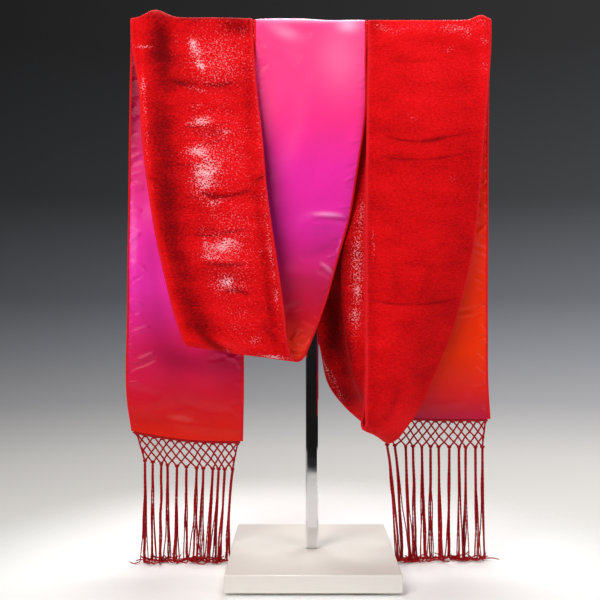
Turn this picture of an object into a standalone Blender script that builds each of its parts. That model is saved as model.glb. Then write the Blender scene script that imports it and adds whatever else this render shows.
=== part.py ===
"""A fringed scarf, red velvet lined with shaded satin, hung in two swags over a T-bar display stand.

Run it with: blender --background --python part.py

Metres, +Z up, +X to the right as seen from the front, the front towards -Y.
The scarf is one long strip. It is described from its left hem to its right hem as a row of sections.
Edge A is its left edge where it starts and edge B the other one.
Velvet is always on the side of (along the strip) x (from A to B).
"""

from collections import namedtuple
import math

import bmesh
import bpy
from mathutils import Vector
import numpy as np

MM = 0.001

# Stand
BASE_SIDE = 0.160
BASE_THICKNESS = 0.0164
BASE_EDGE_RADIUS = 0.0010
FOOT_HEIGHT = 0.0024
FOOT_RADIUS = 0.0040
FOOT_INSET = 0.0105
FOOT_SIDES = 16
TUBE_SIDE = 0.0127
BAR_CORNER = 0.0020
POST_CORNER = 0.0015
BAR_LENGTH = 0.3500
BAR_MIDDLE_X = -0.0012
BAR_TOP = 0.5395
SEAM_GAP = 0.0003

# The stand's post stands this far right of the middle of the whole, so that the origin is below its middle
POST_X = 0.00352

# Scarf
VELVET_THICKNESS = 0.0012
SATIN_THICKNESS = 0.0010
CELLS_ACROSS = 8
CORNER_STEPS = (0, 30, 60, 90)
CLOTH_START_ON_BAR = 0.0010
SHARP_EDGE_DEGREES = 50

# Fringe
BAND_HEIGHT = 0.0020
BAND_THICKNESS = 0.0022
HEM_KNOTS = 13
FIRST_HEM_KNOT = 0.035
NET_DROP = 0.0275
FIRST_CROSSING_SHARE = 0.36
SECOND_CROSSING_SHARE = 0.66
NET_CORD_RADIUS = 0.00070
TASSEL_STRAND_RADIUS = 0.00065
STRANDS_PER_TASSEL = 4
STRAND_SPREAD = 0.0015
STRAND_END_HEIGHT = 0.0008
KNOT_RADIUS = 0.0021

# Share of the way down a tassel, and how far its strands then stand apart, in parts of STRAND_SPREAD
STRAND_SPREADS = ((0.0, 0.7), (0.3, 1.1), (1.0, 1.35))

# A tassel whose foot is further aside than this many millimetres swings out near its knot
STRAIGHT_TASSEL_REACH = 5.0
SWING_POWER = 0.7

COLOURS = {
    "velvet": ((0.42, 0.004, 0.008), 0.75, 0.0),
    "satin": ((0.60, 0.03, 0.09), 0.35, 0.0),
    "fringe": ((0.30, 0.006, 0.012), 0.60, 0.0),
    "chrome": ((0.80, 0.80, 0.80), 0.08, 1.0),
    "painted_base": ((0.86, 0.85, 0.82), 0.35, 0.0),
    "foot": ((0.82, 0.72, 0.52), 0.60, 0.0),
}

# A section of the strip, in millimetres from the post's middle and the floor. bow moves the middle of the
# section towards the velvet side, dip lifts it, and cells is the number of mesh cells up to the next section.
Section = namedtuple("Section", "ax ay az bx by bz bow dip cells")

# Where the strip crosses the bar: x of its two edges before and after in millimetres, the side that it
# comes from (1 the back, -1 the front), and the cloth that lies against the bar.
Crossing = namedtuple("Crossing", "ax_before bx_before ax_after bx_after from_side under")

# A soft ridge in the strip, in millimetres. It lies on the named stretch at height z and at a distance
# across from edge A. Its crest turns from 0 (across the strip) to 90 degrees (along it). A positive rise
# goes to the velvet side and a negative one to the satin side.
Fold = namedtuple("Fold", "stretch z across turn length width rise")

#                    ax      ay     az     bx     by     bz    bow   dip  cells
LEFT_TAIL = (
    Section(-183.0, 15.0, 132.3, -70.0, 15.0, 122.0, 1.0, -3.7, 2),
    Section(-187.2, 15.0, 160.0, -69.2, 14.5, 160.0, 1.5, 0.0, 4),
    Section(-186.9, 13.0, 260.0, -69.0, 12.5, 260.0, 1.0, 0.0, 4),
    Section(-185.0, 11.0, 380.0, -66.0, 11.0, 380.0, -1.0, 0.0, 3),
    Section(-183.3, 9.0, 480.0, -63.5, 9.0, 480.0, 0.0, 0.0, 2),
)
LEFT_FRONT = (
    Section(-177.4, -8.6, 513.0, -57.1, -11.4, 510.0, 0.5, 0.0, 2),
    Section(-170.1, -11.0, 471.5, -54.2, -13.0, 471.5, 1.0, 0.0, 2),
    Section(-166.3, -15.0, 421.6, -48.4, -17.0, 421.6, 2.0, 0.0, 2),
    Section(-159.5, -20.0, 372.1, -44.0, -21.0, 372.1, 4.0, 0.0, 2),
    Section(-150.6, -25.0, 323.1, -37.0, -26.0, 323.1, 5.0, 0.0, 2),
    Section(-141.1, -30.0, 284.4, -31.1, -31.0, 284.4, 6.0, 0.0, 2),
    Section(-133.5, -33.0, 255.8, -26.7, -34.0, 252.0, 5.0, 0.0, 2),
    Section(-126.5, -34.5, 235.0, -23.0, -35.0, 222.0, 4.0, 0.0, 1),
    Section(-123.5, -31.5, 226.0, -19.0, -31.5, 210.5, 2.0, 0.0, 1),
)
LEFT_SWAG_BOTTOM = (Section(-121.0, -24.0, 221.8, -13.0, -24.0, 206.4, 0.0, 0.0, 1),)
MIDDLE = (
    Section(-119.0, -15.5, 226.0, -7.5, -16.5, 209.8, 0.0, 0.0, 1),
    Section(-115.0, -11.0, 238.0, -3.0, -13.0, 219.0, -1.0, 0.0, 1),
    Section(-109.0, -9.0, 252.0, 3.5, -12.0, 235.0, -2.5, 0.0, 2),
    Section(-97.0, -8.5, 280.0, 14.6, -11.5, 266.0, -3.5, 0.0, 2),
    Section(-87.0, -8.0, 312.0, 25.4, -11.0, 304.6, -3.5, 0.0, 2),
    Section(-78.0, -7.5, 349.0, 37.2, -10.5, 346.9, -3.5, 0.0, 2),
    Section(-70.0, -7.0, 393.1, 45.1, -10.0, 393.1, -3.0, 0.0, 3),
    Section(-62.5, -6.5, 452.2, 53.4, -9.0, 452.2, -2.5, 0.0, 3),
    Section(-57.7, -6.4, 509.0, 53.8, -7.8, 508.0, -1.0, 0.0, 1),
)
BACK = (
    Section(-59.4, 9.5, 505.0, 57.0, 7.8, 505.0, -1.5, 0.0, 2),
    Section(-49.0, 14.0, 440.0, 56.0, 2.5, 440.0, -6.0, 0.0, 3),
    Section(-36.0, 22.0, 370.0, 54.0, -8.0, 370.0, -8.0, 0.0, 3),
    Section(-20.0, 30.0, 300.0, 53.0, -22.5, 300.0, -9.0, 0.0, 2),
    Section(-4.0, 32.0, 252.0, 52.6, -33.0, 252.0, -8.0, 0.0, 2),
    Section(8.0, 30.0, 219.0, 52.0, -40.0, 222.0, -7.0, 0.0, 2),
    Section(18.8, 24.0, 176.0, 50.6, -46.5, 192.0, -7.0, 0.0, 1),
    Section(36.0, 14.0, 155.0, 49.2, -51.8, 172.0, -7.0, 0.0, 1),
    Section(54.0, 8.0, 140.0, 46.4, -56.4, 158.5, -7.0, 0.0, 1),
    Section(68.0, 5.0, 127.5, 44.8, -58.6, 150.5, -4.0, 0.0, 1),
)
RIGHT_SWAG_BOTTOM = (Section(77.0, 3.5, 122.5, 46.4, -60.6, 146.8, -1.0, 0.0, 1),)
RIGHT_FRONT = (
    Section(84.0, 2.5, 126.0, 48.2, -61.6, 150.5, 1.0, 0.0, 1),
    Section(93.0, 2.0, 137.0, 48.0, -61.8, 158.5, 4.0, 0.0, 1),
    Section(105.8, 1.5, 155.4, 47.8, -60.6, 173.0, 9.0, 0.0, 2),
    Section(121.0, 1.0, 190.0, 48.3, -55.6, 202.0, 14.0, 0.0, 2),
    Section(139.4, 0.0, 235.3, 49.0, -47.5, 240.0, 16.0, 0.0, 2),
    Section(151.2, -0.5, 275.2, 49.8, -40.0, 275.0, 14.0, 0.0, 2),
    Section(160.0, -1.5, 314.9, 50.2, -33.0, 315.0, 11.0, 0.0, 2),
    Section(165.6, -3.0, 364.4, 51.3, -25.5, 364.0, 8.0, 0.0, 2),
    Section(169.2, -5.0, 413.7, 52.6, -19.0, 414.0, 5.0, 0.0, 2),
    Section(173.8, -7.0, 472.7, 53.7, -13.4, 473.0, 2.0, 0.0, 2),
    Section(176.2, -7.9, 512.0, 54.5, -9.8, 511.0, 0.5, 0.0, 1),
)
RIGHT_TAIL = (
    Section(178.9, 8.6, 510.0, 60.2, 8.4, 510.0, 0.0, 0.0, 2),
    Section(178.3, 10.0, 440.0, 62.5, 9.5, 440.0, 0.5, 0.0, 3),
    Section(178.3, 12.0, 340.0, 65.0, 12.0, 340.0, 1.5, 0.0, 4),
    Section(178.3, 13.5, 240.0, 67.5, 13.5, 240.0, 1.0, 0.0, 3),
    Section(179.6, 15.0, 170.0, 69.5, 15.0, 170.0, -1.0, 0.0, 1),
    Section(181.5, 15.5, 144.5, 70.5, 15.5, 147.5, 1.0, -1.5, 1),
)
LEFT_CROSSING = Crossing(-182.2, -62.6, -178.8, -58.1, 1, SATIN_THICKNESS)
MIDDLE_CROSSING = Crossing(-57.4, 53.9, -59.8, 57.2, -1, VELVET_THICKNESS)
RIGHT_CROSSING = Crossing(176.5, 54.6, 179.2, 59.6, -1, SATIN_THICKNESS)

#            stretch           z    across turn length width rise
FOLDS = (
    Fold("left_front", 543.0, 25.0, 90.0, 110.0, 13.0, 7.5),
    Fold("left_front", 543.0, 60.0, 0.0, 260.0, 14.0, 2.6),
    Fold("left_front", 372.0, 70.0, 70.0, 210.0, 17.0, 3.0),
    Fold("left_front", 300.0, 30.0, 78.0, 190.0, 15.0, -3.0),
    Fold("middle", 345.0, 92.0, 12.0, 70.0, 11.0, -3.5),
    Fold("middle", 292.0, 80.0, 8.0, 80.0, 12.0, -3.0),
    Fold("middle", 430.0, 60.0, 84.0, 160.0, 14.0, -2.0),
    Fold("middle", 545.0, 30.0, 0.0, 90.0, 12.0, -1.8),
    Fold("back", 262.0, 68.0, 97.0, 260.0, 13.0, 13.0),
    Fold("back", 250.0, 34.0, 94.0, 180.0, 14.0, -5.0),
    Fold("right_front", 220.0, 84.0, 90.0, 120.0, 16.0, 4.0),
    Fold("right_front", 235.0, 34.0, 86.0, 220.0, 16.0, -3.0),
    Fold("right_front", 541.0, 10.5, 90.0, 90.0, 8.0, 5.0),
    Fold("left_tail", 350.0, 34.0, 62.0, 170.0, 16.0, -3.0),
    Fold("left_tail", 215.0, 84.0, 80.0, 200.0, 16.0, -3.5),
    Fold("left_tail", 150.0, 36.0, 20.0, 90.0, 12.0, 2.5),
    Fold("right_tail", 300.0, 28.0, 76.0, 180.0, 15.0, -3.0),
    Fold("right_tail", 190.0, 82.0, 84.0, 160.0, 16.0, -3.0),
)

# Tassels from left to right, in millimetres: x of the knot, and x and y where the tassel meets the surface.
Tassel = namedtuple("Tassel", "knot_x foot_x foot_y")
LEFT_TASSELS = (
    Tassel(-169.4, -168.0, 8.0),
    Tassel(-161.5, -161.5, 13.0),
    Tassel(-152.9, -153.0, 7.0),
    Tassel(-146.6, -145.5, 14.0),
    Tassel(-137.0, -137.5, 8.0),
    Tassel(-127.4, -128.5, 13.0),
    Tassel(-117.0, -119.0, 6.0),
    Tassel(-110.2, -112.5, 14.0),
    Tassel(-100.6, -105.0, 8.0),
    Tassel(-94.6, -99.0, 15.0),
    Tassel(-88.4, -92.8, 5.0),
    Tassel(-80.5, -86.6, 12.0),
)
RIGHT_TASSELS = (
    Tassel(76.6, 86.8, 12.0),
    Tassel(84.4, 92.6, 17.0),
    Tassel(95.4, 98.4, 11.0),
    Tassel(102.8, 105.2, 18.0),
    Tassel(111.9, 113.4, 12.0),
    Tassel(120.8, 121.6, 18.0),
    Tassel(129.1, 129.9, 12.0),
    Tassel(139.9, 139.7, 18.0),
    Tassel(149.7, 149.4, 13.0),
    Tassel(156.5, 157.0, 19.0),
    Tassel(166.4, 166.6, 13.0),
    Tassel(173.4, 174.4, 19.0),
)


def clear_scene():
    for item in list(bpy.data.objects):
        bpy.data.objects.remove(item, do_unlink=True)


def new_collection(name, hidden=False):
    made = bpy.data.collections.new(name)
    bpy.context.scene.collection.children.link(made)
    made.hide_render = hidden
    return made


def make_materials():
    """One Principled material for each finish, named as in COLOURS."""
    made = {}
    for name, (colour, roughness, metallic) in COLOURS.items():
        material = bpy.data.materials.new(name)
        material.use_nodes = True
        shader = material.node_tree.nodes["Principled BSDF"]
        shader.inputs["Base Color"].default_value = (*colour, 1.0)
        shader.inputs["Roughness"].default_value = roughness
        shader.inputs["Metallic"].default_value = metallic
        material.diffuse_color = (*colour, 1.0)
        made[name] = material
    return made


def add_object(name, mesh, material, collection):
    mesh.materials.clear()
    mesh.materials.append(material)
    made = bpy.data.objects.new(name, mesh)
    collection.objects.link(made)
    return made


def add_bevel(target, width, segments):
    bevel = target.modifiers.new("rounded_edges", "BEVEL")
    bevel.width = width
    bevel.segments = segments
    bevel.limit_method = "ANGLE"


def box_mesh(name, size):
    mesh = bpy.data.meshes.new(name)
    shape = bmesh.new()
    bmesh.ops.create_cube(shape, size=1.0)
    bmesh.ops.scale(shape, vec=size, verts=shape.verts)
    shape.to_mesh(mesh)
    shape.free()
    return mesh


def disc_mesh(name, radius, height, sides):
    mesh = bpy.data.meshes.new(name)
    shape = bmesh.new()
    bmesh.ops.create_cone(
        shape, cap_ends=True, segments=sides, radius1=radius, radius2=radius, depth=height
    )
    shape.to_mesh(mesh)
    shape.free()
    return mesh


def build_stand(materials, collection):
    """The painted slab on four low feet, the square post and the square cross-bar of the T."""
    base_middle = FOOT_HEIGHT + SEAM_GAP + BASE_THICKNESS / 2
    slab = box_mesh("stand_base", (BASE_SIDE, BASE_SIDE, BASE_THICKNESS))
    base = add_object("stand_base", slab, materials["painted_base"], collection)
    base.location = (POST_X, 0.0, base_middle)
    add_bevel(base, BASE_EDGE_RADIUS, 2)

    reach = BASE_SIDE / 2 - FOOT_INSET
    for depth_name, side_y in (("front", -1), ("rear", 1)):
        for width_name, side_x in (("left", -1), ("right", 1)):
            name = f"stand_foot_{depth_name}_{width_name}"
            disc = disc_mesh(name, FOOT_RADIUS, FOOT_HEIGHT, FOOT_SIDES)
            foot = add_object(name, disc, materials["foot"], collection)
            foot.location = (POST_X + side_x * reach, side_y * reach, FOOT_HEIGHT / 2)

    base_top = base_middle + BASE_THICKNESS / 2
    bar_bottom = BAR_TOP - TUBE_SIDE
    post_height = bar_bottom - base_top - 2 * SEAM_GAP
    upright = box_mesh("stand_post", (TUBE_SIDE, TUBE_SIDE, post_height))
    post = add_object("stand_post", upright, materials["chrome"], collection)
    post.location = (POST_X, 0.0, base_top + SEAM_GAP + post_height / 2)
    add_bevel(post, POST_CORNER, 2)

    beam = box_mesh("stand_crossbar", (BAR_LENGTH, TUBE_SIDE, TUBE_SIDE))
    bar = add_object("stand_crossbar", beam, materials["chrome"], collection)
    bar.location = (POST_X + BAR_MIDDLE_X, 0.0, BAR_TOP - TUBE_SIDE / 2)
    add_bevel(bar, BAR_CORNER, 2)


def crossing_sections(crossing):
    """Sections over the square bar, a wall's thickness off it, from one side's foot to the other's."""
    half = TUBE_SIDE / 2 / MM
    corner = BAR_CORNER / MM
    top = BAR_TOP / MM
    lowest = top - 2 * half + CLOTH_START_ON_BAR / MM
    clearance = (SEAM_GAP + crossing.under + SEAM_GAP / 2) / MM
    profile = [(half + clearance, lowest)]
    for degrees in CORNER_STEPS:
        angle = math.radians(degrees)
        reach = corner + clearance
        profile.append((half - corner + reach * math.cos(angle), top - corner + reach * math.sin(angle)))
    profile.append((0.0, top + clearance))
    profile += [(-y, z) for y, z in reversed(profile[:-1])]
    sections = []
    for y, z in profile:
        passed = 0.5 - 0.5 * y / (half + clearance)
        ax = crossing.ax_before + passed * (crossing.ax_after - crossing.ax_before)
        bx = crossing.bx_before + passed * (crossing.bx_after - crossing.bx_before)
        place = y * crossing.from_side
        sections.append(Section(ax, place, z, bx, place, z, 0.0, 0.0, 1))
    return tuple(sections)


def strip_sections():
    """All sections from the left hem to the right hem, and where each stretch of the strip ends."""
    over_left = crossing_sections(LEFT_CROSSING)
    over_middle = crossing_sections(MIDDLE_CROSSING)
    over_right = crossing_sections(RIGHT_CROSSING)
    half = len(over_left) // 2 + 1
    pieces = (
        ("left_tail", LEFT_TAIL + over_left[:half]),
        ("left_front", over_left[half:] + LEFT_FRONT + LEFT_SWAG_BOTTOM),
        ("middle", MIDDLE + over_middle[:half]),
        ("back", over_middle[half:] + BACK + RIGHT_SWAG_BOTTOM),
        ("right_front", RIGHT_FRONT + over_right[:half]),
        ("right_tail", over_right[half:] + RIGHT_TAIL),
    )
    sections = []
    last = {}
    for name, rows in pieces:
        sections += rows
        last[name] = len(sections) - 1
    return sections, last


def run_smoothly(rows, cells):
    """Rows of numbers, with cells[i] steps from row i to row i + 1 along a curve through all the rows."""
    middles = (rows[:, 0:3] + rows[:, 3:6]) / 2
    gaps = np.linalg.norm(np.diff(middles, axis=0), axis=1)[:, None]
    slopes = np.diff(rows, axis=0) / gaps
    inner = (slopes[:-1] * gaps[1:] + slopes[1:] * gaps[:-1]) / (gaps[:-1] + gaps[1:])
    tangents = np.vstack([slopes[:1], inner, slopes[-1:]])
    made = [rows[0]]
    stations = [0]
    for i, count in enumerate(cells[:-1]):
        for step in range(1, count + 1):
            t = step / count
            start = (1 + 2 * t) * (1 - t) ** 2 * rows[i] + t * (1 - t) ** 2 * gaps[i] * tangents[i]
            end = t**2 * (3 - 2 * t) * rows[i + 1] - t**2 * (1 - t) * gaps[i] * tangents[i + 1]
            made.append(start + end)
        stations.append(len(made) - 1)
    return np.array(made), stations


def unit(vectors):
    return vectors / np.linalg.norm(vectors, axis=-1, keepdims=True)


def velvet_normals(grid):
    """Unit normals of a grid of points, on the velvet side."""
    along = np.gradient(grid, axis=0)
    across = np.gradient(grid, axis=1)
    return unit(np.cross(along, across))


def fold_rise(fold, along, across):
    """The height of one soft ridge at each point, which fades out along its crest and to both sides."""
    turn = math.radians(fold.turn)
    on_crest = along * math.sin(turn) + across * math.cos(turn)
    off_crest = along * math.cos(turn) - across * math.sin(turn)
    fade = np.clip(1 - (2 * on_crest / fold.length) ** 2, 0, 1) ** 2
    return fold.rise * fade * np.exp(-((off_crest / fold.width) ** 2))


def strip_grid(across_cells):
    """The strip's middle surface in millimetres, row by row, and each stretch's first and last row."""
    sections, last = strip_sections()
    rows = np.array([row[:8] for row in sections])
    smooth, stations = run_smoothly(rows, [row.cells for row in sections])
    edge_a, edge_b = smooth[:, None, 0:3], smooth[:, None, 3:6]
    share = np.linspace(0, 1, across_cells + 1)[None, :, None]
    crown = np.sin(math.pi * share)
    middles = (smooth[:, 0:3] + smooth[:, 3:6]) / 2
    outward = unit(np.cross(np.gradient(middles, axis=0), smooth[:, 3:6] - smooth[:, 0:3]))
    grid = edge_a + share * (edge_b - edge_a) + smooth[:, None, 6:7] * crown * outward[:, None, :]
    grid[:, :, 2] += smooth[:, 7:8] * crown[:, :, 0]

    steps = np.linalg.norm(np.diff(middles, axis=0), axis=1)
    along = np.concatenate([[0.0], np.cumsum(steps)])
    width = np.linalg.norm(np.diff(grid, axis=1), axis=2).sum(axis=1)[:, None]
    spans = {}
    first = 0
    for name, section in last.items():
        spans[name] = (first, stations[section])
        first = stations[section]
    rise = np.zeros(grid.shape[:2])
    for fold in FOLDS:
        start, end = spans[fold.stretch]
        nearest = start + int(np.argmin(np.abs(middles[start : end + 1, 2] - fold.z)))
        rise += fold_rise(fold, (along - along[nearest])[:, None], share[:, :, 0] * width - fold.across)
    grid += rise[:, :, None] * velvet_normals(grid)
    return grid, spans


def wall_mesh(name, near, far):
    """A closed wall between two grids of points, where far lies on the side that the faces turn to.

    Each cell is split along the same diagonal on both sides, so that neighbouring walls keep their gap.
    """
    rows, columns = near.shape[:2]
    count = rows * columns
    faces = []
    for i in range(rows - 1):
        for j in range(columns - 1):
            a = i * columns + j
            below = a + columns
            for triangle in ((a, below, below + 1), (a, below + 1, a + 1)):
                faces.append(tuple(corner + count for corner in triangle))
                faces.append(triangle[::-1])
    down_one_edge = [i * columns for i in range(rows)]
    along_end = [(rows - 1) * columns + j for j in range(1, columns)]
    up_other_edge = [i * columns + columns - 1 for i in range(rows - 2, -1, -1)]
    along_start = [j for j in range(columns - 2, 0, -1)]
    rim = down_one_edge + along_end + up_other_edge + along_start
    for a, b in zip(rim, rim[1:] + rim[:1]):
        faces.append((a, b, b + count, a + count))
    mesh = bpy.data.meshes.new(name)
    corners = np.concatenate([near.reshape(-1, 3), far.reshape(-1, 3)])
    mesh.from_pydata(corners.tolist(), [], faces)
    mesh.shade_smooth()
    mesh.set_sharp_from_angle(angle=math.radians(SHARP_EDGE_DEGREES))
    return mesh


def world_points(grid):
    return grid * MM + np.array([POST_X, 0.0, 0.0])


def build_scarf(materials, collection):
    """Each stretch is a velvet wall and a satin wall, 0.3 mm apart and 0.3 mm from the next stretch."""
    grid, spans = strip_grid(CELLS_ACROSS)
    points = world_points(grid)
    normals = velvet_normals(grid)
    half_gap = SEAM_GAP / 2
    for name, (first, last) in spans.items():
        part = points[first : last + 1].copy()
        if first > 0:
            part[0] += half_gap * unit(part[1] - part[0])
        if last < len(points) - 1:
            part[-1] += half_gap * unit(part[-2] - part[-1])
        outward = normals[first : last + 1]
        face = wall_mesh(
            f"velvet_{name}", part + half_gap * outward, part + (half_gap + VELVET_THICKNESS) * outward
        )
        add_object(f"velvet_{name}", face, materials["velvet"], collection)
        lining = wall_mesh(
            f"satin_{name}", part - (half_gap + SATIN_THICKNESS) * outward, part - half_gap * outward
        )
        add_object(f"satin_{name}", lining, materials["satin"], collection)
    return points


def point_on_row(row, share):
    """The point at a share of the way along a row of points."""
    place = share * (len(row) - 1)
    low = min(int(place), len(row) - 2)
    return row[low] + (place - low) * (row[low + 1] - row[low])


def tube_pieces(name, lines, radius, profile, pieces):
    """A closed tube with three sides along each short line of points, each tube its own mesh object."""
    curves = []
    for number, line in enumerate(lines):
        curve = bpy.data.curves.new(f"{name}_{number}", "CURVE")
        curve.dimensions = "3D"
        curve.bevel_mode = "OBJECT"
        curve.bevel_object = profile
        curve.use_fill_caps = True
        spline = curve.splines.new("POLY")
        spline.points.add(len(line) - 1)
        for point, place in zip(spline.points, line):
            point.co = (*place, 1.0)
            point.radius = radius
        made = bpy.data.objects.new(curve.name, curve)
        pieces.objects.link(made)
        curves.append(made)
    bpy.context.view_layer.update()
    graph = bpy.context.evaluated_depsgraph_get()
    meshes = [bpy.data.meshes.new_from_object(made.evaluated_get(graph)) for made in curves]
    for made, mesh in zip(curves, meshes):
        piece_name = made.name
        bpy.data.objects.remove(made)
        shape = bmesh.new()
        shape.from_mesh(mesh)
        bmesh.ops.remove_doubles(shape, verts=shape.verts, dist=1e-6)
        bmesh.ops.recalc_face_normals(shape, faces=shape.faces)
        shape.to_mesh(mesh)
        shape.free()
        add_piece(piece_name, mesh, pieces)


def add_piece(name, mesh, pieces):
    """A helper shape that a Boolean joins to a fringe."""
    piece = bpy.data.objects.new(name, mesh)
    piece.hide_render = True
    piece.display_type = "WIRE"
    pieces.objects.link(piece)


def knot_pieces(name, places, radius, pieces):
    """A small knot with eight faces at each place."""
    for number, place in enumerate(places):
        mesh = bpy.data.meshes.new(f"{name}_{number}")
        shape = bmesh.new()
        made = bmesh.ops.create_uvsphere(shape, u_segments=4, v_segments=2, radius=radius)
        bmesh.ops.translate(shape, vec=Vector(place), verts=made["verts"])
        shape.to_mesh(mesh)
        shape.free()
        add_piece(mesh.name, mesh, pieces)


def triangle_profile(helpers):
    """A closed triangle of unit radius, the cross-section of every strand."""
    curve = bpy.data.curves.new("strand_profile", "CURVE")
    spline = curve.splines.new("POLY")
    spline.points.add(2)
    for point, degrees in zip(spline.points, (90, 210, 330)):
        angle = math.radians(degrees)
        point.co = (math.cos(angle), math.sin(angle), 0.0, 1.0)
    spline.use_cyclic_u = True
    profile = bpy.data.objects.new("strand_profile", curve)
    profile.hide_render = True
    profile.display_type = "WIRE"
    helpers.objects.link(profile)
    return profile


def net_points(hem, down, tassels):
    """Rows of knots from the hem to the tassels: at the hem, two rows of crossings and the tassel knots."""
    last_knot = 1 - FIRST_HEM_KNOT
    shares = np.linspace(FIRST_HEM_KNOT, last_knot, HEM_KNOTS)
    top = [point_on_row(hem, share) + down * (SEAM_GAP + BAND_HEIGHT / 2) for share in shares]
    knots = []
    for k, tassel in enumerate(tassels):
        x = POST_X + tassel.knot_x * MM
        above = (top[k] + top[k + 1]) / 2
        knots.append(np.array([x, above[1], above[2] - NET_DROP]))
    between = [(top[k] + top[k + 1]) / 2 for k in range(len(top) - 1)]
    first = [high + (low - high) * FIRST_CROSSING_SHARE for high, low in zip(between, knots)]
    second = [top[0] + (knots[0] - top[0]) * SECOND_CROSSING_SHARE]
    second += [(first[k + 1] + knots[k]) / 2 for k in range(len(first) - 1)]
    second.append(top[-1] + (knots[-1] - top[-1]) * SECOND_CROSSING_SHARE)
    return top, first, second, knots


def net_cords(top, first, second, knots):
    """The net's cords, each a short line of points that crosses its neighbours on the way to a tassel."""
    last = len(knots) - 1
    cords = [[top[0], second[0]], [top[-1], second[-1]]]
    for k, place in enumerate(first):
        cords.append([top[k], place, second[k + 1], knots[min(k + 1, last)]])
        cords.append([top[k + 1], place, second[k], knots[max(k - 1, 0)]])
    return cords


def tassel_strands(knots, tassels):
    """Four strands below each knot, which spread a little and hang to just above the surface."""
    strands = []
    for knot, tassel in zip(knots, tassels):
        foot = np.array([POST_X + tassel.foot_x * MM, tassel.foot_y * MM, STRAND_END_HEIGHT])
        swings = abs(tassel.foot_x - tassel.knot_x) > STRAIGHT_TASSEL_REACH
        for number in range(STRANDS_PER_TASSEL):
            angle = math.tau * (number + 0.5) / STRANDS_PER_TASSEL
            aside = np.array([math.cos(angle), math.sin(angle), 0.0])
            line = []
            for share, spread in STRAND_SPREADS:
                swing = share**SWING_POWER if swings else share
                place = knot + (foot - knot) * np.array([swing, share, share])
                line.append(place + aside * STRAND_SPREAD * spread)
            strands.append(line)
    return strands


def build_fringe(name, hem, above_hem, tassels, materials, collection, profile):
    """A knotted net and its tassels, fused into a narrow band 0.3 mm below the hem."""
    if hem[0][0] > hem[-1][0]:
        hem, above_hem = hem[::-1], above_hem[::-1]
    down = unit(hem - above_hem)
    front = np.array([0.0, -BAND_THICKNESS / 2, 0.0])
    rows = np.array([hem + down * SEAM_GAP, hem + down * (SEAM_GAP + BAND_HEIGHT)])
    band_mesh = wall_mesh(name, rows - front, rows + front)
    band = add_object(name, band_mesh, materials["fringe"], collection)

    top, first, second, knots = net_points(hem, down[len(down) // 2], tassels)
    pieces = new_collection(f"{name}_pieces", hidden=True)
    tube_pieces(f"{name}_cord", net_cords(top, first, second, knots), NET_CORD_RADIUS, profile, pieces)
    tube_pieces(f"{name}_strand", tassel_strands(knots, tassels), TASSEL_STRAND_RADIUS, profile, pieces)
    knot_pieces(f"{name}_knot", knots, KNOT_RADIUS, pieces)
    union = band.modifiers.new("net_and_tassels", "BOOLEAN")
    union.operation = "UNION"
    union.operand_type = "COLLECTION"
    union.collection = pieces
    union.solver = "MANIFOLD"


def main():
    clear_scene()
    collection = new_collection("fringed_scarf_on_stand")
    helpers = new_collection("helpers", hidden=True)
    materials = make_materials()
    build_stand(materials, collection)
    points = build_scarf(materials, collection)
    profile = triangle_profile(helpers)
    fringes = (
        ("fringe_left", points[0], points[1], LEFT_TASSELS),
        ("fringe_right", points[-1], points[-2], RIGHT_TASSELS),
    )
    for name, hem, above_hem, tassels in fringes:
        build_fringe(name, hem, above_hem, tassels, materials, collection, profile)


main()
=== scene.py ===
# %% [markdown]
# # A fringed scarf over a T-bar stand
# The real thing is one long narrow strip, red velvet on one face and shaded satin on the other, with a
# knotted fringe at each end. It hangs over a cross-bar three times, so it makes two swags and two tails.
# This notebook dresses the solid model of it: every piece here lies on the solid that it stands for.
# The model is loaded first and stays as it is. All lengths in Blender are metres.

# %% Load the model that the pieces are fitted to
from collections import namedtuple
import math
import bpy
import numpy as np
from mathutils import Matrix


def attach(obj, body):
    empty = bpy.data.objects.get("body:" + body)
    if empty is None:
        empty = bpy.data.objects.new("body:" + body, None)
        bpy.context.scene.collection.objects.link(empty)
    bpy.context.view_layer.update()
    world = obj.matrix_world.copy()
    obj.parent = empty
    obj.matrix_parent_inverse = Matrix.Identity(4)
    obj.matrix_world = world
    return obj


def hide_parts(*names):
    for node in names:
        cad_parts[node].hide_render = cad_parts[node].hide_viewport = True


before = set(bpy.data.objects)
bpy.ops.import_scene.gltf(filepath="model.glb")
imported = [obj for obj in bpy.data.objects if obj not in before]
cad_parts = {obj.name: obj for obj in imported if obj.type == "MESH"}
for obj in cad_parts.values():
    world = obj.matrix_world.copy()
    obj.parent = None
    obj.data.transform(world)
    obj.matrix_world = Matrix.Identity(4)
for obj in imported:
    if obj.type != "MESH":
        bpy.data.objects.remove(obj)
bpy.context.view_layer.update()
print("nodes in the model:", len(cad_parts))

# %% [markdown]
# ## The camera
# The photograph was taken level, from a little left of the post and about halfway up the stand. Its
# horizon lies 2 pixels above the middle of a 600 pixel picture, which a small shift gives without tilting
# the lens, so that upright lines stay upright.

# %% Set the camera up as the photographer did
MM = 0.001
POST_X = 0.00352
PICTURE = 600
FOCAL_LENGTH_IN_PIXELS = 785
LENS_DISTANCE = 0.782
LENS_LEFT_OF_POST = 0.01195
LENS_HEIGHT = 0.2672
HORIZON_ABOVE_MIDDLE = 2

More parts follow.
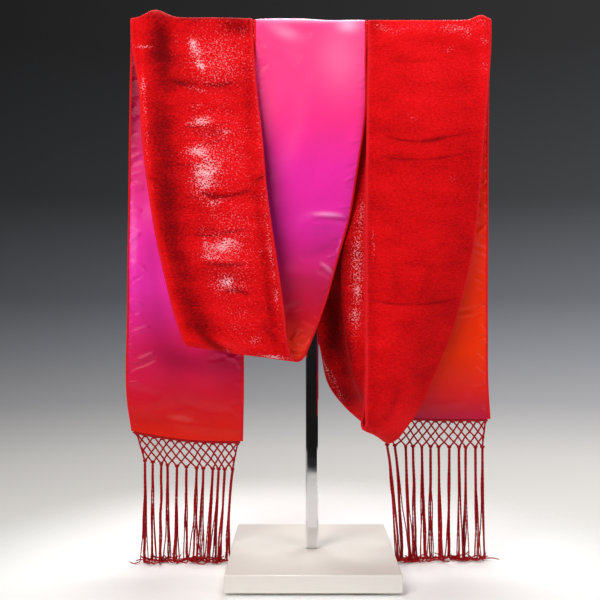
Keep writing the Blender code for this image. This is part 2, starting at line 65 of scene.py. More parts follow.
lens = bpy.data.cameras.new("photo_lens")
lens.sensor_width = 36.0
lens.lens = FOCAL_LENGTH_IN_PIXELS / PICTURE * lens.sensor_width
lens.shift_y = -HORIZON_ABOVE_MIDDLE / PICTURE
camera = bpy.data.objects.new("photo_camera", lens)
camera.location = (POST_X - LENS_LEFT_OF_POST, -LENS_DISTANCE, LENS_HEIGHT)
camera.rotation_euler = (math.radians(90), 0, 0)
bpy.context.scene.collection.objects.link(camera)
bpy.context.scene.camera = camera
print("lens:", round(lens.lens, 1), "mm")

# %% [markdown]
# ## The studio
# The set is a pale table that fades into a backdrop, nearly white below and dark grey above. One way is a
# curved sheet of paper. Here the floor is a flat disc that grows see-through towards its rim, and behind it
# the world holds the grey blend, which goes by height. Shader colours are linear numbers, so a helper turns
# the hex colours of a colour picker into them.

# %% Helpers for colours, colour ramps and sums of shader values
def linear(hex_colour):
    """A hex colour as the eye reads it, turned into the linear numbers that shaders work with."""
    channels = [int(hex_colour[i : i + 2], 16) / 255 for i in (0, 2, 4)]
    return tuple(c / 12.92 if c <= 0.04045 else ((c + 0.055) / 1.055) ** 2.4 for c in channels) + (1.0,)


def fill_ramp(ramp, stops):
    """Puts stops of (place, hex colour) on a colour ramp."""
    while len(ramp.elements) < len(stops):
        ramp.elements.new(0.5)
    for element, (place, colour) in zip(ramp.elements, stops):
        element.position = place
        element.color = linear(colour)


def add_math(tree, operation, first, second, clamp=False):
    """A Math node fed by two sockets or numbers. Returns its output."""
    node = tree.nodes.new("ShaderNodeMath")
    node.operation = operation
    node.use_clamp = clamp
    for socket, value in zip(node.inputs, (first, second)):
        if isinstance(value, (int, float)):
            socket.default_value = value
        else:
            tree.links.new(value, socket)
    return node.outputs[0]


print("white in linear numbers:", linear("FFFFFF"))

# %% [markdown]
# The backdrop of the photograph is nearly white at the table and dark grey at the top, and its right side
# is lighter than its left one. So the world's colour comes from a ramp over the height of each direction,
# and its strength from how far the direction points to the right. Low down that difference dies out.

# %% Blend the world from white below the horizon to dark grey above
WORLD_BLEND = (
    (-1.0, "FFFFFF"), (-0.36, "FAFAF8"), (-0.30, "EAE8E4"), (-0.245, "DEDBD6"), (-0.19, "CCC9C6"),
    (-0.126, "9D9C9E"), (-0.064, "7F8085"), (0.0, "5E5F64"), (0.121, "38393B"), (0.294, "2A2A2B"),
    (1.0, "202020"),
)
SIDE_DIFFERENCE = 1.1
FADE_LOW_DOWN = 2.6
WEAKEST, STRONGEST = 0.6, 1.5

world = bpy.data.worlds.new("grey_blend")
world.use_nodes = True
bpy.context.scene.world = world
sky = world.node_tree
background = sky.nodes["Background"]
direction = sky.nodes.new("ShaderNodeSeparateXYZ")
sky.links.new(sky.nodes.new("ShaderNodeTexCoord").outputs["Generated"], direction.inputs[0])
to_share = sky.nodes.new("ShaderNodeMapRange")
to_share.inputs["From Min"].default_value = -1.0
blend = sky.nodes.new("ShaderNodeValToRGB")
fill_ramp(blend.color_ramp, [((place + 1) / 2, colour) for place, colour in WORLD_BLEND])
sky.links.new(direction.outputs["Z"], to_share.inputs["Value"])
sky.links.new(to_share.outputs["Result"], blend.inputs["Fac"])
sky.links.new(blend.outputs["Color"], background.inputs["Color"])

fade_down = add_math(sky, "MULTIPLY", direction.outputs["Z"], FADE_LOW_DOWN)
fade_down = add_math(sky, "ADD", fade_down, 1.0, clamp=True)
strength = add_math(sky, "MULTIPLY", direction.outputs["X"], fade_down)
strength = add_math(sky, "ADD", add_math(sky, "MULTIPLY", strength, SIDE_DIFFERENCE), 1.0)
strength = add_math(sky, "MINIMUM", add_math(sky, "MAXIMUM", strength, WEAKEST), STRONGEST)
sky.links.new(strength, background.inputs["Strength"])
bpy.context.scene.view_settings.view_transform = "Standard"
print("world blend stops:", len(WORLD_BLEND))

# %% [markdown]
# The floor disc only has to catch the soft shadows below the stand and the fringe. A smooth fade from its
# middle to its rim hides where it ends.

# %% Lay the pale floor
FLOOR_RADIUS = 0.44
FLOOR_SOLID_RADIUS = 0.17
FADE_END_SHARE = 0.95
RIM_POINTS = 96


def new_material(name):
    """A material made of nodes. Returns it with its node tree and its Principled shader."""
    material = bpy.data.materials.new(name)
    material.use_nodes = True
    tree = material.node_tree
    return material, tree, tree.nodes["Principled BSDF"]


def link_object(name, mesh, *materials):
    """Puts a mesh with its materials into the scene as an object."""
    made = bpy.data.objects.new(name, mesh)
    for material in materials:
        mesh.materials.append(material)
    bpy.context.scene.collection.objects.link(made)
    return made


floor_paint, tree, shader = new_material("pale_floor")
shader.inputs["Base Color"].default_value = (0.96, 0.97, 0.97, 1.0)
shader.inputs["Roughness"].default_value = 0.75
place = tree.nodes.new("ShaderNodeTexCoord")
radius = tree.nodes.new("ShaderNodeVectorMath")
radius.operation = "LENGTH"
fade = tree.nodes.new("ShaderNodeMapRange")
fade.interpolation_type = "SMOOTHSTEP"
fade.inputs["From Min"].default_value = FLOOR_SOLID_RADIUS
fade.inputs["From Max"].default_value = FLOOR_RADIUS * FADE_END_SHARE
fade.inputs["To Min"].default_value = 1.0
fade.inputs["To Max"].default_value = 0.0
tree.links.new(place.outputs["Object"], radius.inputs[0])
tree.links.new(radius.outputs["Value"], fade.inputs["Value"])
tree.links.new(fade.outputs["Result"], shader.inputs["Alpha"])

disc = bpy.data.meshes.new("floor")
turns = np.linspace(0, math.tau, RIM_POINTS + 1)[:-1]
rim = [(FLOOR_RADIUS * math.cos(turn), FLOOR_RADIUS * math.sin(turn), 0.0) for turn in turns]
disc.from_pydata(rim, [], [tuple(range(len(rim)))])
floor = link_object("floor", disc, floor_paint)
print("floor radius:", FLOOR_RADIUS, "m")

# %% [markdown]
# ## Lights
# Four soft boxes: a large one high on the left front, which models the velvet, a weaker one on the right,
# a strip above and behind, which draws the bright rim along the cloth on the bar, and one straight above,
# which keeps the table pale. Large lamps near the object give the soft edges of a studio shot.

# %% Hang the soft boxes
Lamp = namedtuple("Lamp", "name x y z wide high watts aim_x aim_z colour")
LAMPS = (
    Lamp("key_box", -0.75, -0.95, 1.05, 0.70, 0.90, 14.0, -0.05, 0.30, "FFFAF4"),
    Lamp("fill_box", 0.95, -0.90, 0.70, 0.70, 0.90, 6.5, 0.05, 0.28, "F6F9FF"),
    Lamp("rim_strip", 0.05, 0.42, 1.05, 0.90, 0.25, 9.0, 0.0, 0.50, "FFFFFF"),
    Lamp("table_box", 0.0, -0.10, 1.60, 1.10, 0.80, 9.0, 0.0, 0.0, "FFFDF8"),
)
for lamp in LAMPS:
    light = bpy.data.lights.new(lamp.name, "AREA")
    light.shape = "RECTANGLE"
    light.size = lamp.wide
    light.size_y = lamp.high
    light.energy = lamp.watts
    light.color = linear(lamp.colour)[:3]
    holder = bpy.data.objects.new(lamp.name, light)
    bpy.context.scene.collection.objects.link(holder)
    where = np.array([lamp.x, lamp.y, lamp.z])
    towards = np.array([lamp.aim_x, 0.0, lamp.aim_z]) - where
    pan = math.atan2(towards[1], towards[0]) - math.pi / 2
    tilt = math.atan2(math.hypot(towards[0], towards[1]), -towards[2])
    holder.location = where
    holder.rotation_euler = (tilt, 0, pan)
print("lamps:", ", ".join(lamp.name for lamp in LAMPS))

# %% [markdown]
# A mirror-bright post shows whatever stands before it. The photographer's room was dark beyond the near
# edge of the table, so the post is black above and pale at its foot. A dark card does the same here. It
# shows in reflections only and takes no light from the cloth.

# %% Stand a dark card in front, for the reflections alone
CARD_DISTANCE = 0.43
CARD_HEIGHT = 0.28
CARD_HALF_WIDTH = 0.55
CARD_ABOVE_TABLE = 0.001
CARD_BLACK = 0.012

card_paint, tree, shader = new_material("dark_card")
shader.inputs["Base Color"].default_value = (CARD_BLACK, CARD_BLACK, CARD_BLACK, 1.0)
shader.inputs["Roughness"].default_value = 1.0
shader.inputs["Specular IOR Level"].default_value = 0.0
corners = [(-1, 0), (1, 0), (1, 1), (-1, 1)]
card_mesh = bpy.data.meshes.new("dark_card")
places = [(x * CARD_HALF_WIDTH, -CARD_DISTANCE, z * CARD_HEIGHT + CARD_ABOVE_TABLE) for x, z in corners]
card_mesh.from_pydata(places, [], [(0, 1, 2, 3)])
card = link_object("dark_card", card_mesh, card_paint)
card.visible_camera = False
card.visible_diffuse = False
card.visible_shadow = False
card.visible_transmission = False
print("card:", 2 * CARD_HALF_WIDTH, "x", CARD_HEIGHT, "m")

# %% [markdown]
# ## The strip, as it hangs
# A draped strip could come from a cloth simulation, but this one has to hang exactly as the model does. So
# it is made as a loft: a row of straight or bowed sections from the left hem to the right hem, with a smooth
# curve through both of its edges. Edge A is the left edge at the start, edge B the other one. Numbers are
# millimetres from the post's middle and the floor; bow pushes the middle towards the velvet and dip lifts it.

# %% Write down the sections of the strip
Section = namedtuple("Section", "ax ay az bx by bz bow dip cells")

#                    ax      ay     az     bx     by     bz    bow   dip  cells
LEFT_TAIL = (
    Section(-183.0, 15.0, 132.3, -70.0, 15.0, 122.0, 1.0, -3.7, 2),
    Section(-187.2, 15.0, 160.0, -69.2, 14.5, 160.0, 1.5, 0.0, 4),
    Section(-186.9, 13.0, 260.0, -69.0, 12.5, 260.0, 1.0, 0.0, 4),
    Section(-185.0, 11.0, 380.0, -66.0, 11.0, 380.0, -1.0, 0.0, 3),
    Section(-183.3, 9.0, 480.0, -63.5, 9.0, 480.0, 0.0, 0.0, 2),
)
LEFT_FRONT = (
    Section(-177.4, -8.6, 513.0, -57.1, -11.4, 510.0, 0.5, 0.0, 2),
    Section(-170.1, -11.0, 471.5, -54.2, -13.0, 471.5, 1.0, 0.0, 2),
    Section(-166.3, -15.0, 421.6, -48.4, -17.0, 421.6, 2.0, 0.0, 2),
    Section(-159.5, -20.0, 372.1, -44.0, -21.0, 372.1, 4.0, 0.0, 2),
    Section(-150.6, -25.0, 323.1, -37.0, -26.0, 323.1, 5.0, 0.0, 2),
    Section(-141.1, -30.0, 284.4, -31.1, -31.0, 284.4, 6.0, 0.0, 2),
    Section(-133.5, -33.0, 255.8, -26.7, -34.0, 252.0, 5.0, 0.0, 2),
    Section(-126.5, -34.5, 235.0, -23.0, -35.0, 222.0, 4.0, 0.0, 1),
    Section(-123.5, -31.5, 226.0, -19.0, -31.5, 210.5, 2.0, 0.0, 1),
)
LEFT_SWAG_BOTTOM = (Section(-121.0, -24.0, 221.8, -13.0, -24.0, 206.4, 0.0, 0.0, 1),)
MIDDLE = (
    Section(-119.0, -15.5, 226.0, -7.5, -16.5, 209.8, 0.0, 0.0, 1),
    Section(-115.0, -11.0, 238.0, -3.0, -13.0, 219.0, -1.0, 0.0, 1),
    Section(-109.0, -9.0, 252.0, 3.5, -12.0, 235.0, -2.5, 0.0, 2),
    Section(-97.0, -8.5, 280.0, 14.6, -11.5, 266.0, -3.5, 0.0, 2),
    Section(-87.0, -8.0, 312.0, 25.4, -11.0, 304.6, -3.5, 0.0, 2),
    Section(-78.0, -7.5, 349.0, 37.2, -10.5, 346.9, -3.5, 0.0, 2),
    Section(-70.0, -7.0, 393.1, 45.1, -10.0, 393.1, -3.0, 0.0, 3),
    Section(-62.5, -6.5, 452.2, 53.4, -9.0, 452.2, -2.5, 0.0, 3),
    Section(-57.7, -6.4, 509.0, 53.8, -7.8, 508.0, -1.0, 0.0, 1),
)
BACK = (
    Section(-59.4, 9.5, 505.0, 57.0, 7.8, 505.0, -1.5, 0.0, 2),
    Section(-49.0, 14.0, 440.0, 56.0, 2.5, 440.0, -6.0, 0.0, 3),
    Section(-36.0, 22.0, 370.0, 54.0, -8.0, 370.0, -8.0, 0.0, 3),
    Section(-20.0, 30.0, 300.0, 53.0, -22.5, 300.0, -9.0, 0.0, 2),
    Section(-4.0, 32.0, 252.0, 52.6, -33.0, 252.0, -8.0, 0.0, 2),
    Section(8.0, 30.0, 219.0, 52.0, -40.0, 222.0, -7.0, 0.0, 2),
    Section(18.8, 24.0, 176.0, 50.6, -46.5, 192.0, -7.0, 0.0, 1),
    Section(36.0, 14.0, 155.0, 49.2, -51.8, 172.0, -7.0, 0.0, 1),
    Section(54.0, 8.0, 140.0, 46.4, -56.4, 158.5, -7.0, 0.0, 1),
    Section(68.0, 5.0, 127.5, 44.8, -58.6, 150.5, -4.0, 0.0, 1),
)
RIGHT_SWAG_BOTTOM = (Section(77.0, 3.5, 122.5, 46.4, -60.6, 146.8, -1.0, 0.0, 1),)
RIGHT_FRONT = (
    Section(84.0, 2.5, 126.0, 48.2, -61.6, 150.5, 1.0, 0.0, 1),
    Section(93.0, 2.0, 137.0, 48.0, -61.8, 158.5, 4.0, 0.0, 1),
    Section(105.8, 1.5, 155.4, 47.8, -60.6, 173.0, 9.0, 0.0, 2),
    Section(121.0, 1.0, 190.0, 48.3, -55.6, 202.0, 14.0, 0.0, 2),
    Section(139.4, 0.0, 235.3, 49.0, -47.5, 240.0, 16.0, 0.0, 2),
    Section(151.2, -0.5, 275.2, 49.8, -40.0, 275.0, 14.0, 0.0, 2),
    Section(160.0, -1.5, 314.9, 50.2, -33.0, 315.0, 11.0, 0.0, 2),
    Section(165.6, -3.0, 364.4, 51.3, -25.5, 364.0, 8.0, 0.0, 2),
    Section(169.2, -5.0, 413.7, 52.6, -19.0, 414.0, 5.0, 0.0, 2),
    Section(173.8, -7.0, 472.7, 53.7, -13.4, 473.0, 2.0, 0.0, 2),
    Section(176.2, -7.9, 512.0, 54.5, -9.8, 511.0, 0.5, 0.0, 1),
)
RIGHT_TAIL = (
    Section(178.9, 8.6, 510.0, 60.2, 8.4, 510.0, 0.0, 0.0, 2),
    Section(178.3, 10.0, 440.0, 62.5, 9.5, 440.0, 0.5, 0.0, 3),
    Section(178.3, 12.0, 340.0, 65.0, 12.0, 340.0, 1.5, 0.0, 4),
    Section(178.3, 13.5, 240.0, 67.5, 13.5, 240.0, 1.0, 0.0, 3),
    Section(179.6, 15.0, 170.0, 69.5, 15.0, 170.0, -1.0, 0.0, 1),
    Section(181.5, 15.5, 144.5, 70.5, 15.5, 147.5, 1.0, -1.5, 1),
)
by_hand = (LEFT_TAIL, LEFT_FRONT, LEFT_SWAG_BOTTOM, MIDDLE, BACK, RIGHT_SWAG_BOTTOM, RIGHT_FRONT, RIGHT_TAIL)
print("sections by hand:", sum(len(rows) for rows in by_hand))

# %% [markdown]
# Where the strip crosses the square bar it follows the bar's rounded corners, one layer of cloth away from
# it. The three crossings share one helper that walks from one side of the bar to the other.

# %% Carry the strip over the cross-bar
SEAM_GAP = 0.0003
VELVET_THICKNESS = 0.0012
SATIN_THICKNESS = 0.0010
TUBE_SIDE = 0.0127
BAR_CORNER = 0.0020
BAR_TOP = 0.5395
CORNER_STEPS = (0, 30, 60, 90)
CLOTH_START_ON_BAR = 0.0010

Crossing = namedtuple("Crossing", "ax_before bx_before ax_after bx_after from_side under")
LEFT_CROSSING = Crossing(-182.2, -62.6, -178.8, -58.1, 1, SATIN_THICKNESS)
MIDDLE_CROSSING = Crossing(-57.4, 53.9, -59.8, 57.2, -1, VELVET_THICKNESS)
RIGHT_CROSSING = Crossing(176.5, 54.6, 179.2, 59.6, -1, SATIN_THICKNESS)


def crossing_sections(crossing):
    """Sections over the square bar, a wall's thickness off it, from one side's foot to the other's."""
    half = TUBE_SIDE / 2 / MM
    corner = BAR_CORNER / MM
    top = BAR_TOP / MM
    lowest = top - 2 * half + CLOTH_START_ON_BAR / MM
    clearance = (SEAM_GAP + crossing.under + SEAM_GAP / 2) / MM
    profile = [(half + clearance, lowest)]
    for degrees in CORNER_STEPS:
        angle = math.radians(degrees)
        reach = corner + clearance
        profile.append((half - corner + reach * math.cos(angle), top - corner + reach * math.sin(angle)))
    profile.append((0.0, top + clearance))
    profile += [(-y, z) for y, z in reversed(profile[:-1])]
    sections = []
    for y, z in profile:
        passed = 0.5 - 0.5 * y / (half + clearance)
        ax = crossing.ax_before + passed * (crossing.ax_after - crossing.ax_before)
        bx = crossing.bx_before + passed * (crossing.bx_after - crossing.bx_before)
        place = y * crossing.from_side
        sections.append(Section(ax, place, z, bx, place, z, 0.0, 0.0, 1))
    return tuple(sections)


over_left = crossing_sections(LEFT_CROSSING)
over_middle = crossing_sections(MIDDLE_CROSSING)
over_right = crossing_sections(RIGHT_CROSSING)
middle_of_bar = len(over_left) // 2 + 1
STRETCHES = (
    ("left_tail", LEFT_TAIL + over_left[:middle_of_bar]),
    ("left_front", over_left[middle_of_bar:] + LEFT_FRONT + LEFT_SWAG_BOTTOM),
    ("middle", MIDDLE + over_middle[:middle_of_bar]),
    ("back", over_middle[middle_of_bar:] + BACK + RIGHT_SWAG_BOTTOM),
    ("right_front", RIGHT_FRONT + over_right[:middle_of_bar]),
    ("right_tail", over_right[middle_of_bar:] + RIGHT_TAIL),
)
print("stretches:", ", ".join(name for name, _ in STRETCHES))

# %% [markdown]
# A curve through the sections gives many rows. They are then spaced evenly, 1.5 mm apart, so that small
# creases come out equally fine everywhere. Each stretch keeps its own first and last row, which it shares
# with its neighbour, so that no seam can open between them.

# %% Draw a smooth curve through the sections and space its rows evenly
ROW_STEP = 1.5
COLUMNS = 82
CURVE_STEPS = 10
CLOTH_WIDTH = 120
EDGE_RADIUS = 1.31


def unit(vectors):
    """Vectors of the same directions, each 1 long."""
    return vectors / np.linalg.norm(vectors, axis=-1, keepdims=True)


def run_smoothly(rows, cells):
    """Rows of numbers, with cells[i] steps from row i to row i + 1 along a curve through all the rows."""
    middles = (rows[:, 0:3] + rows[:, 3:6]) / 2
    gaps = np.linalg.norm(np.diff(middles, axis=0), axis=1)[:, None]
    slopes = np.diff(rows, axis=0) / gaps
    inner = (slopes[:-1] * gaps[1:] + slopes[1:] * gaps[:-1]) / (gaps[:-1] + gaps[1:])
    tangents = np.vstack([slopes[:1], inner, slopes[-1:]])
    made = [rows[0]]
    stations = [0]
    for i, count in enumerate(cells[:-1]):
        for step in range(1, count + 1):
            t = step / count
            start = (1 + 2 * t) * (1 - t) ** 2 * rows[i] + t * (1 - t) ** 2 * gaps[i] * tangents[i]
            end = t**2 * (3 - 2 * t) * rows[i + 1] - t**2 * (1 - t) * gaps[i] * tangents[i + 1]
            made.append(start + end)
        stations.append(len(made) - 1)
    return np.array(made), stations


def even_rows():
    """Rows about ROW_STEP apart, their distance from the left hem, and each stretch's first and last row."""
    sections = [row for _, rows in STRETCHES for row in rows]
    numbers = np.array([row[:8] for row in sections])
    dense, stations = run_smoothly(numbers, [row.cells * CURVE_STEPS for row in sections])
    middles = (dense[:, 0:3] + dense[:, 3:6]) / 2
    distance = np.concatenate([[0.0], np.cumsum(np.linalg.norm(np.diff(middles, axis=0), axis=1))])
    places = [np.array([0.0])]
    spans = {}
    section = -1
    first_row = 0
    for name, rows in STRETCHES:
        section += len(rows)
        start, end = places[-1][-1], distance[stations[section]]
        count = max(2, round((end - start) / ROW_STEP))
        places.append(np.linspace(start, end, count + 1)[1:])
        spans[name] = (first_row, first_row + count)
        first_row += count
    along = np.concatenate(places)
    rows = np.stack([np.interp(along, distance, dense[:, k]) for k in range(8)], axis=1)
    return rows, along, spans


rows, along, spans = even_rows()
STRIP_LENGTH = along[-1]
print("rows:", len(rows), "strip:", round(STRIP_LENGTH), "mm long")

# %% [markdown]
# The hang of the cloth is more than its outline. Soft ridges and troughs, each with its own length, width
# and height, run through both layers. They are the same ones as in the solid model, so that the dressed
# piece and the solid have one form.

# %% Lay the large folds into the strip
Fold = namedtuple("Fold", "stretch z across turn length width rise")
#            stretch           z    across turn length width rise
FOLDS = (
    Fold("left_front", 543.0, 25.0, 90.0, 110.0, 13.0, 7.5),
    Fold("left_front", 543.0, 60.0, 0.0, 260.0, 14.0, 2.6),
    Fold("left_front", 372.0, 70.0, 70.0, 210.0, 17.0, 3.0),
    Fold("left_front", 300.0, 30.0, 78.0, 190.0, 15.0, -3.0),
    Fold("middle", 345.0, 92.0, 12.0, 70.0, 11.0, -3.5),
    Fold("middle", 292.0, 80.0, 8.0, 80.0, 12.0, -3.0),
    Fold("middle", 430.0, 60.0, 84.0, 160.0, 14.0, -2.0),
    Fold("middle", 545.0, 30.0, 0.0, 90.0, 12.0, -1.8),
    Fold("back", 262.0, 68.0, 97.0, 260.0, 13.0, 13.0),
    Fold("back", 250.0, 34.0, 94.0, 180.0, 14.0, -5.0),
    Fold("right_front", 220.0, 84.0, 90.0, 120.0, 16.0, 4.0),
    Fold("right_front", 235.0, 34.0, 86.0, 220.0, 16.0, -3.0),
    Fold("right_front", 541.0, 10.5, 90.0, 90.0, 8.0, 5.0),
    Fold("left_tail", 350.0, 34.0, 62.0, 170.0, 16.0, -3.0),
    Fold("left_tail", 215.0, 84.0, 80.0, 200.0, 16.0, -3.5),
    Fold("left_tail", 150.0, 36.0, 20.0, 90.0, 12.0, 2.5),
    Fold("right_tail", 300.0, 28.0, 76.0, 180.0, 15.0, -3.0),
    Fold("right_tail", 190.0, 82.0, 84.0, 160.0, 16.0, -3.0),
)


def fold_rise(fold, along_offset, across_offset):
    """The height of one soft ridge at each point, which fades out along its crest and to both sides."""
    turn = math.radians(fold.turn)
    on_crest = along_offset * math.sin(turn) + across_offset * math.cos(turn)
    off_crest = along_offset * math.cos(turn) - across_offset * math.sin(turn)
    fade = np.clip(1 - (2 * on_crest / fold.length) ** 2, 0, 1) ** 2
    return fold.rise * fade * np.exp(-((off_crest / fold.width) ** 2))


def velvet_normals(points):
    """Unit normals of a grid of points, on the velvet side."""
    return unit(np.cross(np.gradient(points, axis=0), np.gradient(points, axis=1)))


edge_a, edge_b = rows[:, None, 0:3], rows[:, None, 3:6]
inset = EDGE_RADIUS / np.linalg.norm(edge_b - edge_a, axis=2)
share = (inset + (1 - 2 * inset) * np.linspace(0, 1, COLUMNS + 1)[None, :])[:, :, None]
crown = np.sin(math.pi * share)
middles = (rows[:, 0:3] + rows[:, 3:6]) / 2
outward = unit(np.cross(np.gradient(middles, along, axis=0), rows[:, 3:6] - rows[:, 0:3]))
cloth = edge_a + share * (edge_b - edge_a) + rows[:, None, 6:7] * crown * outward[:, None, :]
cloth[:, :, 2] += rows[:, 7:8] * crown[:, :, 0]
arc_width = np.linalg.norm(np.diff(cloth, axis=1), axis=2).sum(axis=1)[:, None] + 2 * EDGE_RADIUS
across = share[:, :, 0] * arc_width

rise = np.zeros(cloth.shape[:2])
for fold in FOLDS:
    start, end = spans[fold.stretch]
    nearest = start + int(np.argmin(np.abs(middles[start : end + 1, 2] - fold.z)))
    rise += fold_rise(fold, (along - along[nearest])[:, None], across - fold.across)
cloth += rise[:, :, None] * velvet_normals(cloth)
print("width of the cloth:", round(float(arc_width.min())), "to", round(float(arc_width.max())), "mm")

# %% [markdown]
# Creases and patches were read off the photograph, as pixels from its top left corner. Each lies on a
# stretch of the strip. The point of the strip that shows there tells how far off it is, and so where the mark
# lies and how large it is in millimetres.

# %% Helpers that turn marks in the photograph into millimetres
Crease = namedtuple("Crease", "stretch x z to_x to_z sag width rise")


def seen_on(stretch, right, down):
    """The x and z that a pixel of the photograph shows on a stretch, and the millimetres in a pixel there."""
    first, last = spans[stretch]
    points = cloth[first : last + 1].reshape(-1, 3)
    depths = points[:, 1] + LENS_DISTANCE / MM
    lens_x, lens_z = -LENS_LEFT_OF_POST / MM, LENS_HEIGHT / MM
    horizon = PICTURE / 2 - HORIZON_ABOVE_MIDDLE
    rights = PICTURE / 2 + (points[:, 0] - lens_x) * FOCAL_LENGTH_IN_PIXELS / depths
    downs = horizon - (points[:, 2] - lens_z) * FOCAL_LENGTH_IN_PIXELS / depths
    nearest = np.argmin((rights - right) ** 2 + (downs - down) ** 2)
    pixel = depths[nearest] / FOCAL_LENGTH_IN_PIXELS
    return lens_x + (right - PICTURE / 2) * pixel, lens_z - (down - horizon) * pixel, pixel


def creases_seen(tables):
    """Creases in mm, from rows with both ends, sag and width in pixels and the rise in mm."""
    made = []
    for stretch, table in tables.items():
        for right, down, to_right, to_down, sag, width, rise in table:
            x, z, pixel = seen_on(stretch, right, down)
            to_x, to_z, _ = seen_on(stretch, to_right, to_down)
            made.append(Crease(stretch, x, z, to_x, to_z, sag * pixel, width * pixel, rise))
    return made


print("a pixel at the post is", round(LENS_DISTANCE / MM / FOCAL_LENGTH_IN_PIXELS, 2), "mm")

# %% [markdown]
# Cloth that was folded in a drawer keeps narrow creases. On the velvet they are thin dark lines across the
# pile, a relief with painted shade in it; on the satin small bright and dark ridges. A crease is written down
# by its two ends, how far it sags between them, its half width and its height.

# %% Write down the creases of the velvet face
CREASES = creases_seen({
    "left_front": (
        (172, 80, 189, 83, 2, 2.2, -0.7), (205, 85, 234, 83, 2, 1.8, -0.5),
        (188, 86, 209, 92, 1.5, 1.2, 0.6), (184, 127.5, 212, 127, 0.5, 0.9, -0.5),
        (206, 128, 232, 122, 0.5, 0.8, -0.4), (190, 131.5, 232, 129, 1, 0.8, -0.4),
        (195, 136, 226, 133, 1, 0.8, -0.4), (180, 140, 206, 141, 0.5, 0.8, -0.3),
        (204, 144, 224, 139, 1, 1, -0.4), (176, 165, 195, 165, 0.5, 0.9, -0.5),
        (197, 165, 218, 164, 0.5, 0.8, -0.4), (182, 197, 200, 198, 0.5, 0.8, -0.4),
        (202, 192.5, 228, 196, 2.5, 1.8, -0.9), (224, 197, 252, 189, 1.5, 1.4, -0.8),
        (197, 228.5, 216, 229, 0.8, 0.8, -0.4), (194, 235, 220, 235, 1, 1.1, -0.6),
        (218, 234, 246, 228, 1, 1.1, -0.5), (204, 263, 246, 264, 2, 2.2, -0.6),
        (256, 181, 265, 175, 0.5, 1.8, -0.7), (148, 176, 160, 182, 1, 2, -0.4),
        (224, 292, 250, 296, -3, 2, -0.6), (196, 325, 232, 352, 4, 4.5, -0.6),
        (212, 318, 262, 352, 5, 3, 1.2), (262, 318, 278, 340, 3, 3, -0.35),
        (158, 20, 164, 76, -3, 4.5, -0.7), (150, 14, 170, 34, 1, 3, 1.4),
        (135, 49, 151, 52, -4, 1.4, 0.8), (150, 70, 168, 62, 1, 2, 0.5),
    ),
    "right_front": (
        (384, 136, 425, 142, 2, 1.2, -0.5), (420, 142, 448, 136.5, 1, 2, -0.7),
        (444, 137, 466, 133, 1, 1, -0.5), (380, 156, 420, 160.5, 1.5, 0.9, -0.5),
        (418, 160.5, 465, 153, 1.5, 1, -0.5), (372, 300, 415, 304.5, 2, 1, -0.5),
        (413, 304.5, 458, 297, 2, 1, -0.5), (390, 62, 440, 60, 1, 1, -0.2),
        (392, 258, 398, 300, 0, 3.5, -0.14), (430, 262, 423, 300, 0, 3.5, -0.12),
        (384, 420, 398, 385, 2, 3.5, -0.2), (420, 350, 405, 400, 2, 3.5, 0.6),
    ),
})
print("velvet creases:", len(CREASES))

# %% [markdown]
# The satin shows sharper marks, because it shines: each is a ridge that rises from the shiny face, or with
# a negative height a groove in it.

# %% Write down the creases of the satin face
SATIN_CREASES = creases_seen({
    "middle": (
        (316, 216, 349, 218, -1, 2.6, 1.6), (312, 221, 349, 223, -2, 2.4, -1),
        (300, 258, 345, 240, 4, 5, -0.7), (320, 265, 334, 275, -3, 1.8, 1.3),
        (318, 271, 333, 280, -2, 1.8, -0.9), (328, 257, 340, 255, 0, 1.2, 0.5),
        (283, 315, 305, 305, -2, 4.5, -0.9), (300, 322, 318, 330, 2, 3, 0.8),
        (292, 341, 303, 330, -1, 2.4, 1.4), (298, 345, 312, 336, 1, 2.2, -1.2),
        (292, 352, 306, 350, 1, 2, 1.2), (300, 358, 313, 346, 0, 1.8, -1), (270, 40, 300, 62, 0, 7, -0.5),
        (262, 44, 282, 56, 0, 4, 0.5), (290, 24, 312, 34, 3, 4, -0.6), (262, 30, 282, 26, 2, 4, 0.4),
    ),
    "left_tail": (
        (129, 368, 157, 357, 1.5, 2.2, -1), (131, 362, 155, 353, 1, 2.5, 0.8),
        (207, 360, 226, 356, 1, 1.8, -1), (215, 352, 240, 362, -1, 2.2, 0.9),
        (222, 357, 240, 351, 0, 1.6, -0.6), (128, 386, 162, 396, 2, 5, -0.6),
        (180, 402, 238, 412, 4, 6, -0.8), (150, 414, 240, 430, 3, 5, 0.7),
        (132, 332, 150, 326, 1, 2.5, 0.6), (130, 240, 141, 232, 0, 1.6, 0.8),
        (129, 262, 146, 270, -2, 2, 0.8), (130, 282, 142, 276, 0, 1.6, -0.7),
        (129, 300, 143, 306, -1, 1.8, 0.7), (129, 315, 140, 311, 0, 1.5, -0.6),
        (130, 205, 142, 212, -1, 2, 0.6), (130, 183, 144, 188, 1, 3, 0.7),
        (130, 165, 143, 160, -1, 2.6, -0.6), (131, 120, 138, 116, 0, 2, 0.6),
        (131, 105, 137, 108, 0, 2, -0.6),
    ),
    "right_tail": (
        (455, 311, 487, 303.5, 2, 1.2, -1.3), (457, 315, 487, 308, 2, 1.6, 0.8),
        (480, 341, 490, 339, 0, 1.2, 0.7), (483, 159, 490, 157, 0, 1.1, 0.9),
        (482, 183, 490, 179, 0, 1.1, 0.9), (484, 191, 490, 190, 0, 1, 0.7),
        (445, 372, 480, 392, 3, 7, -0.6), (425, 405, 470, 398, 3, 5, 0.5),
    ),
})
print("satin creases:", len(SATIN_CREASES))

# %% [markdown]
# A crease works in the plane that the photograph shows. How far a point lies from the bent line between the
# two ends decides how high it rises there.

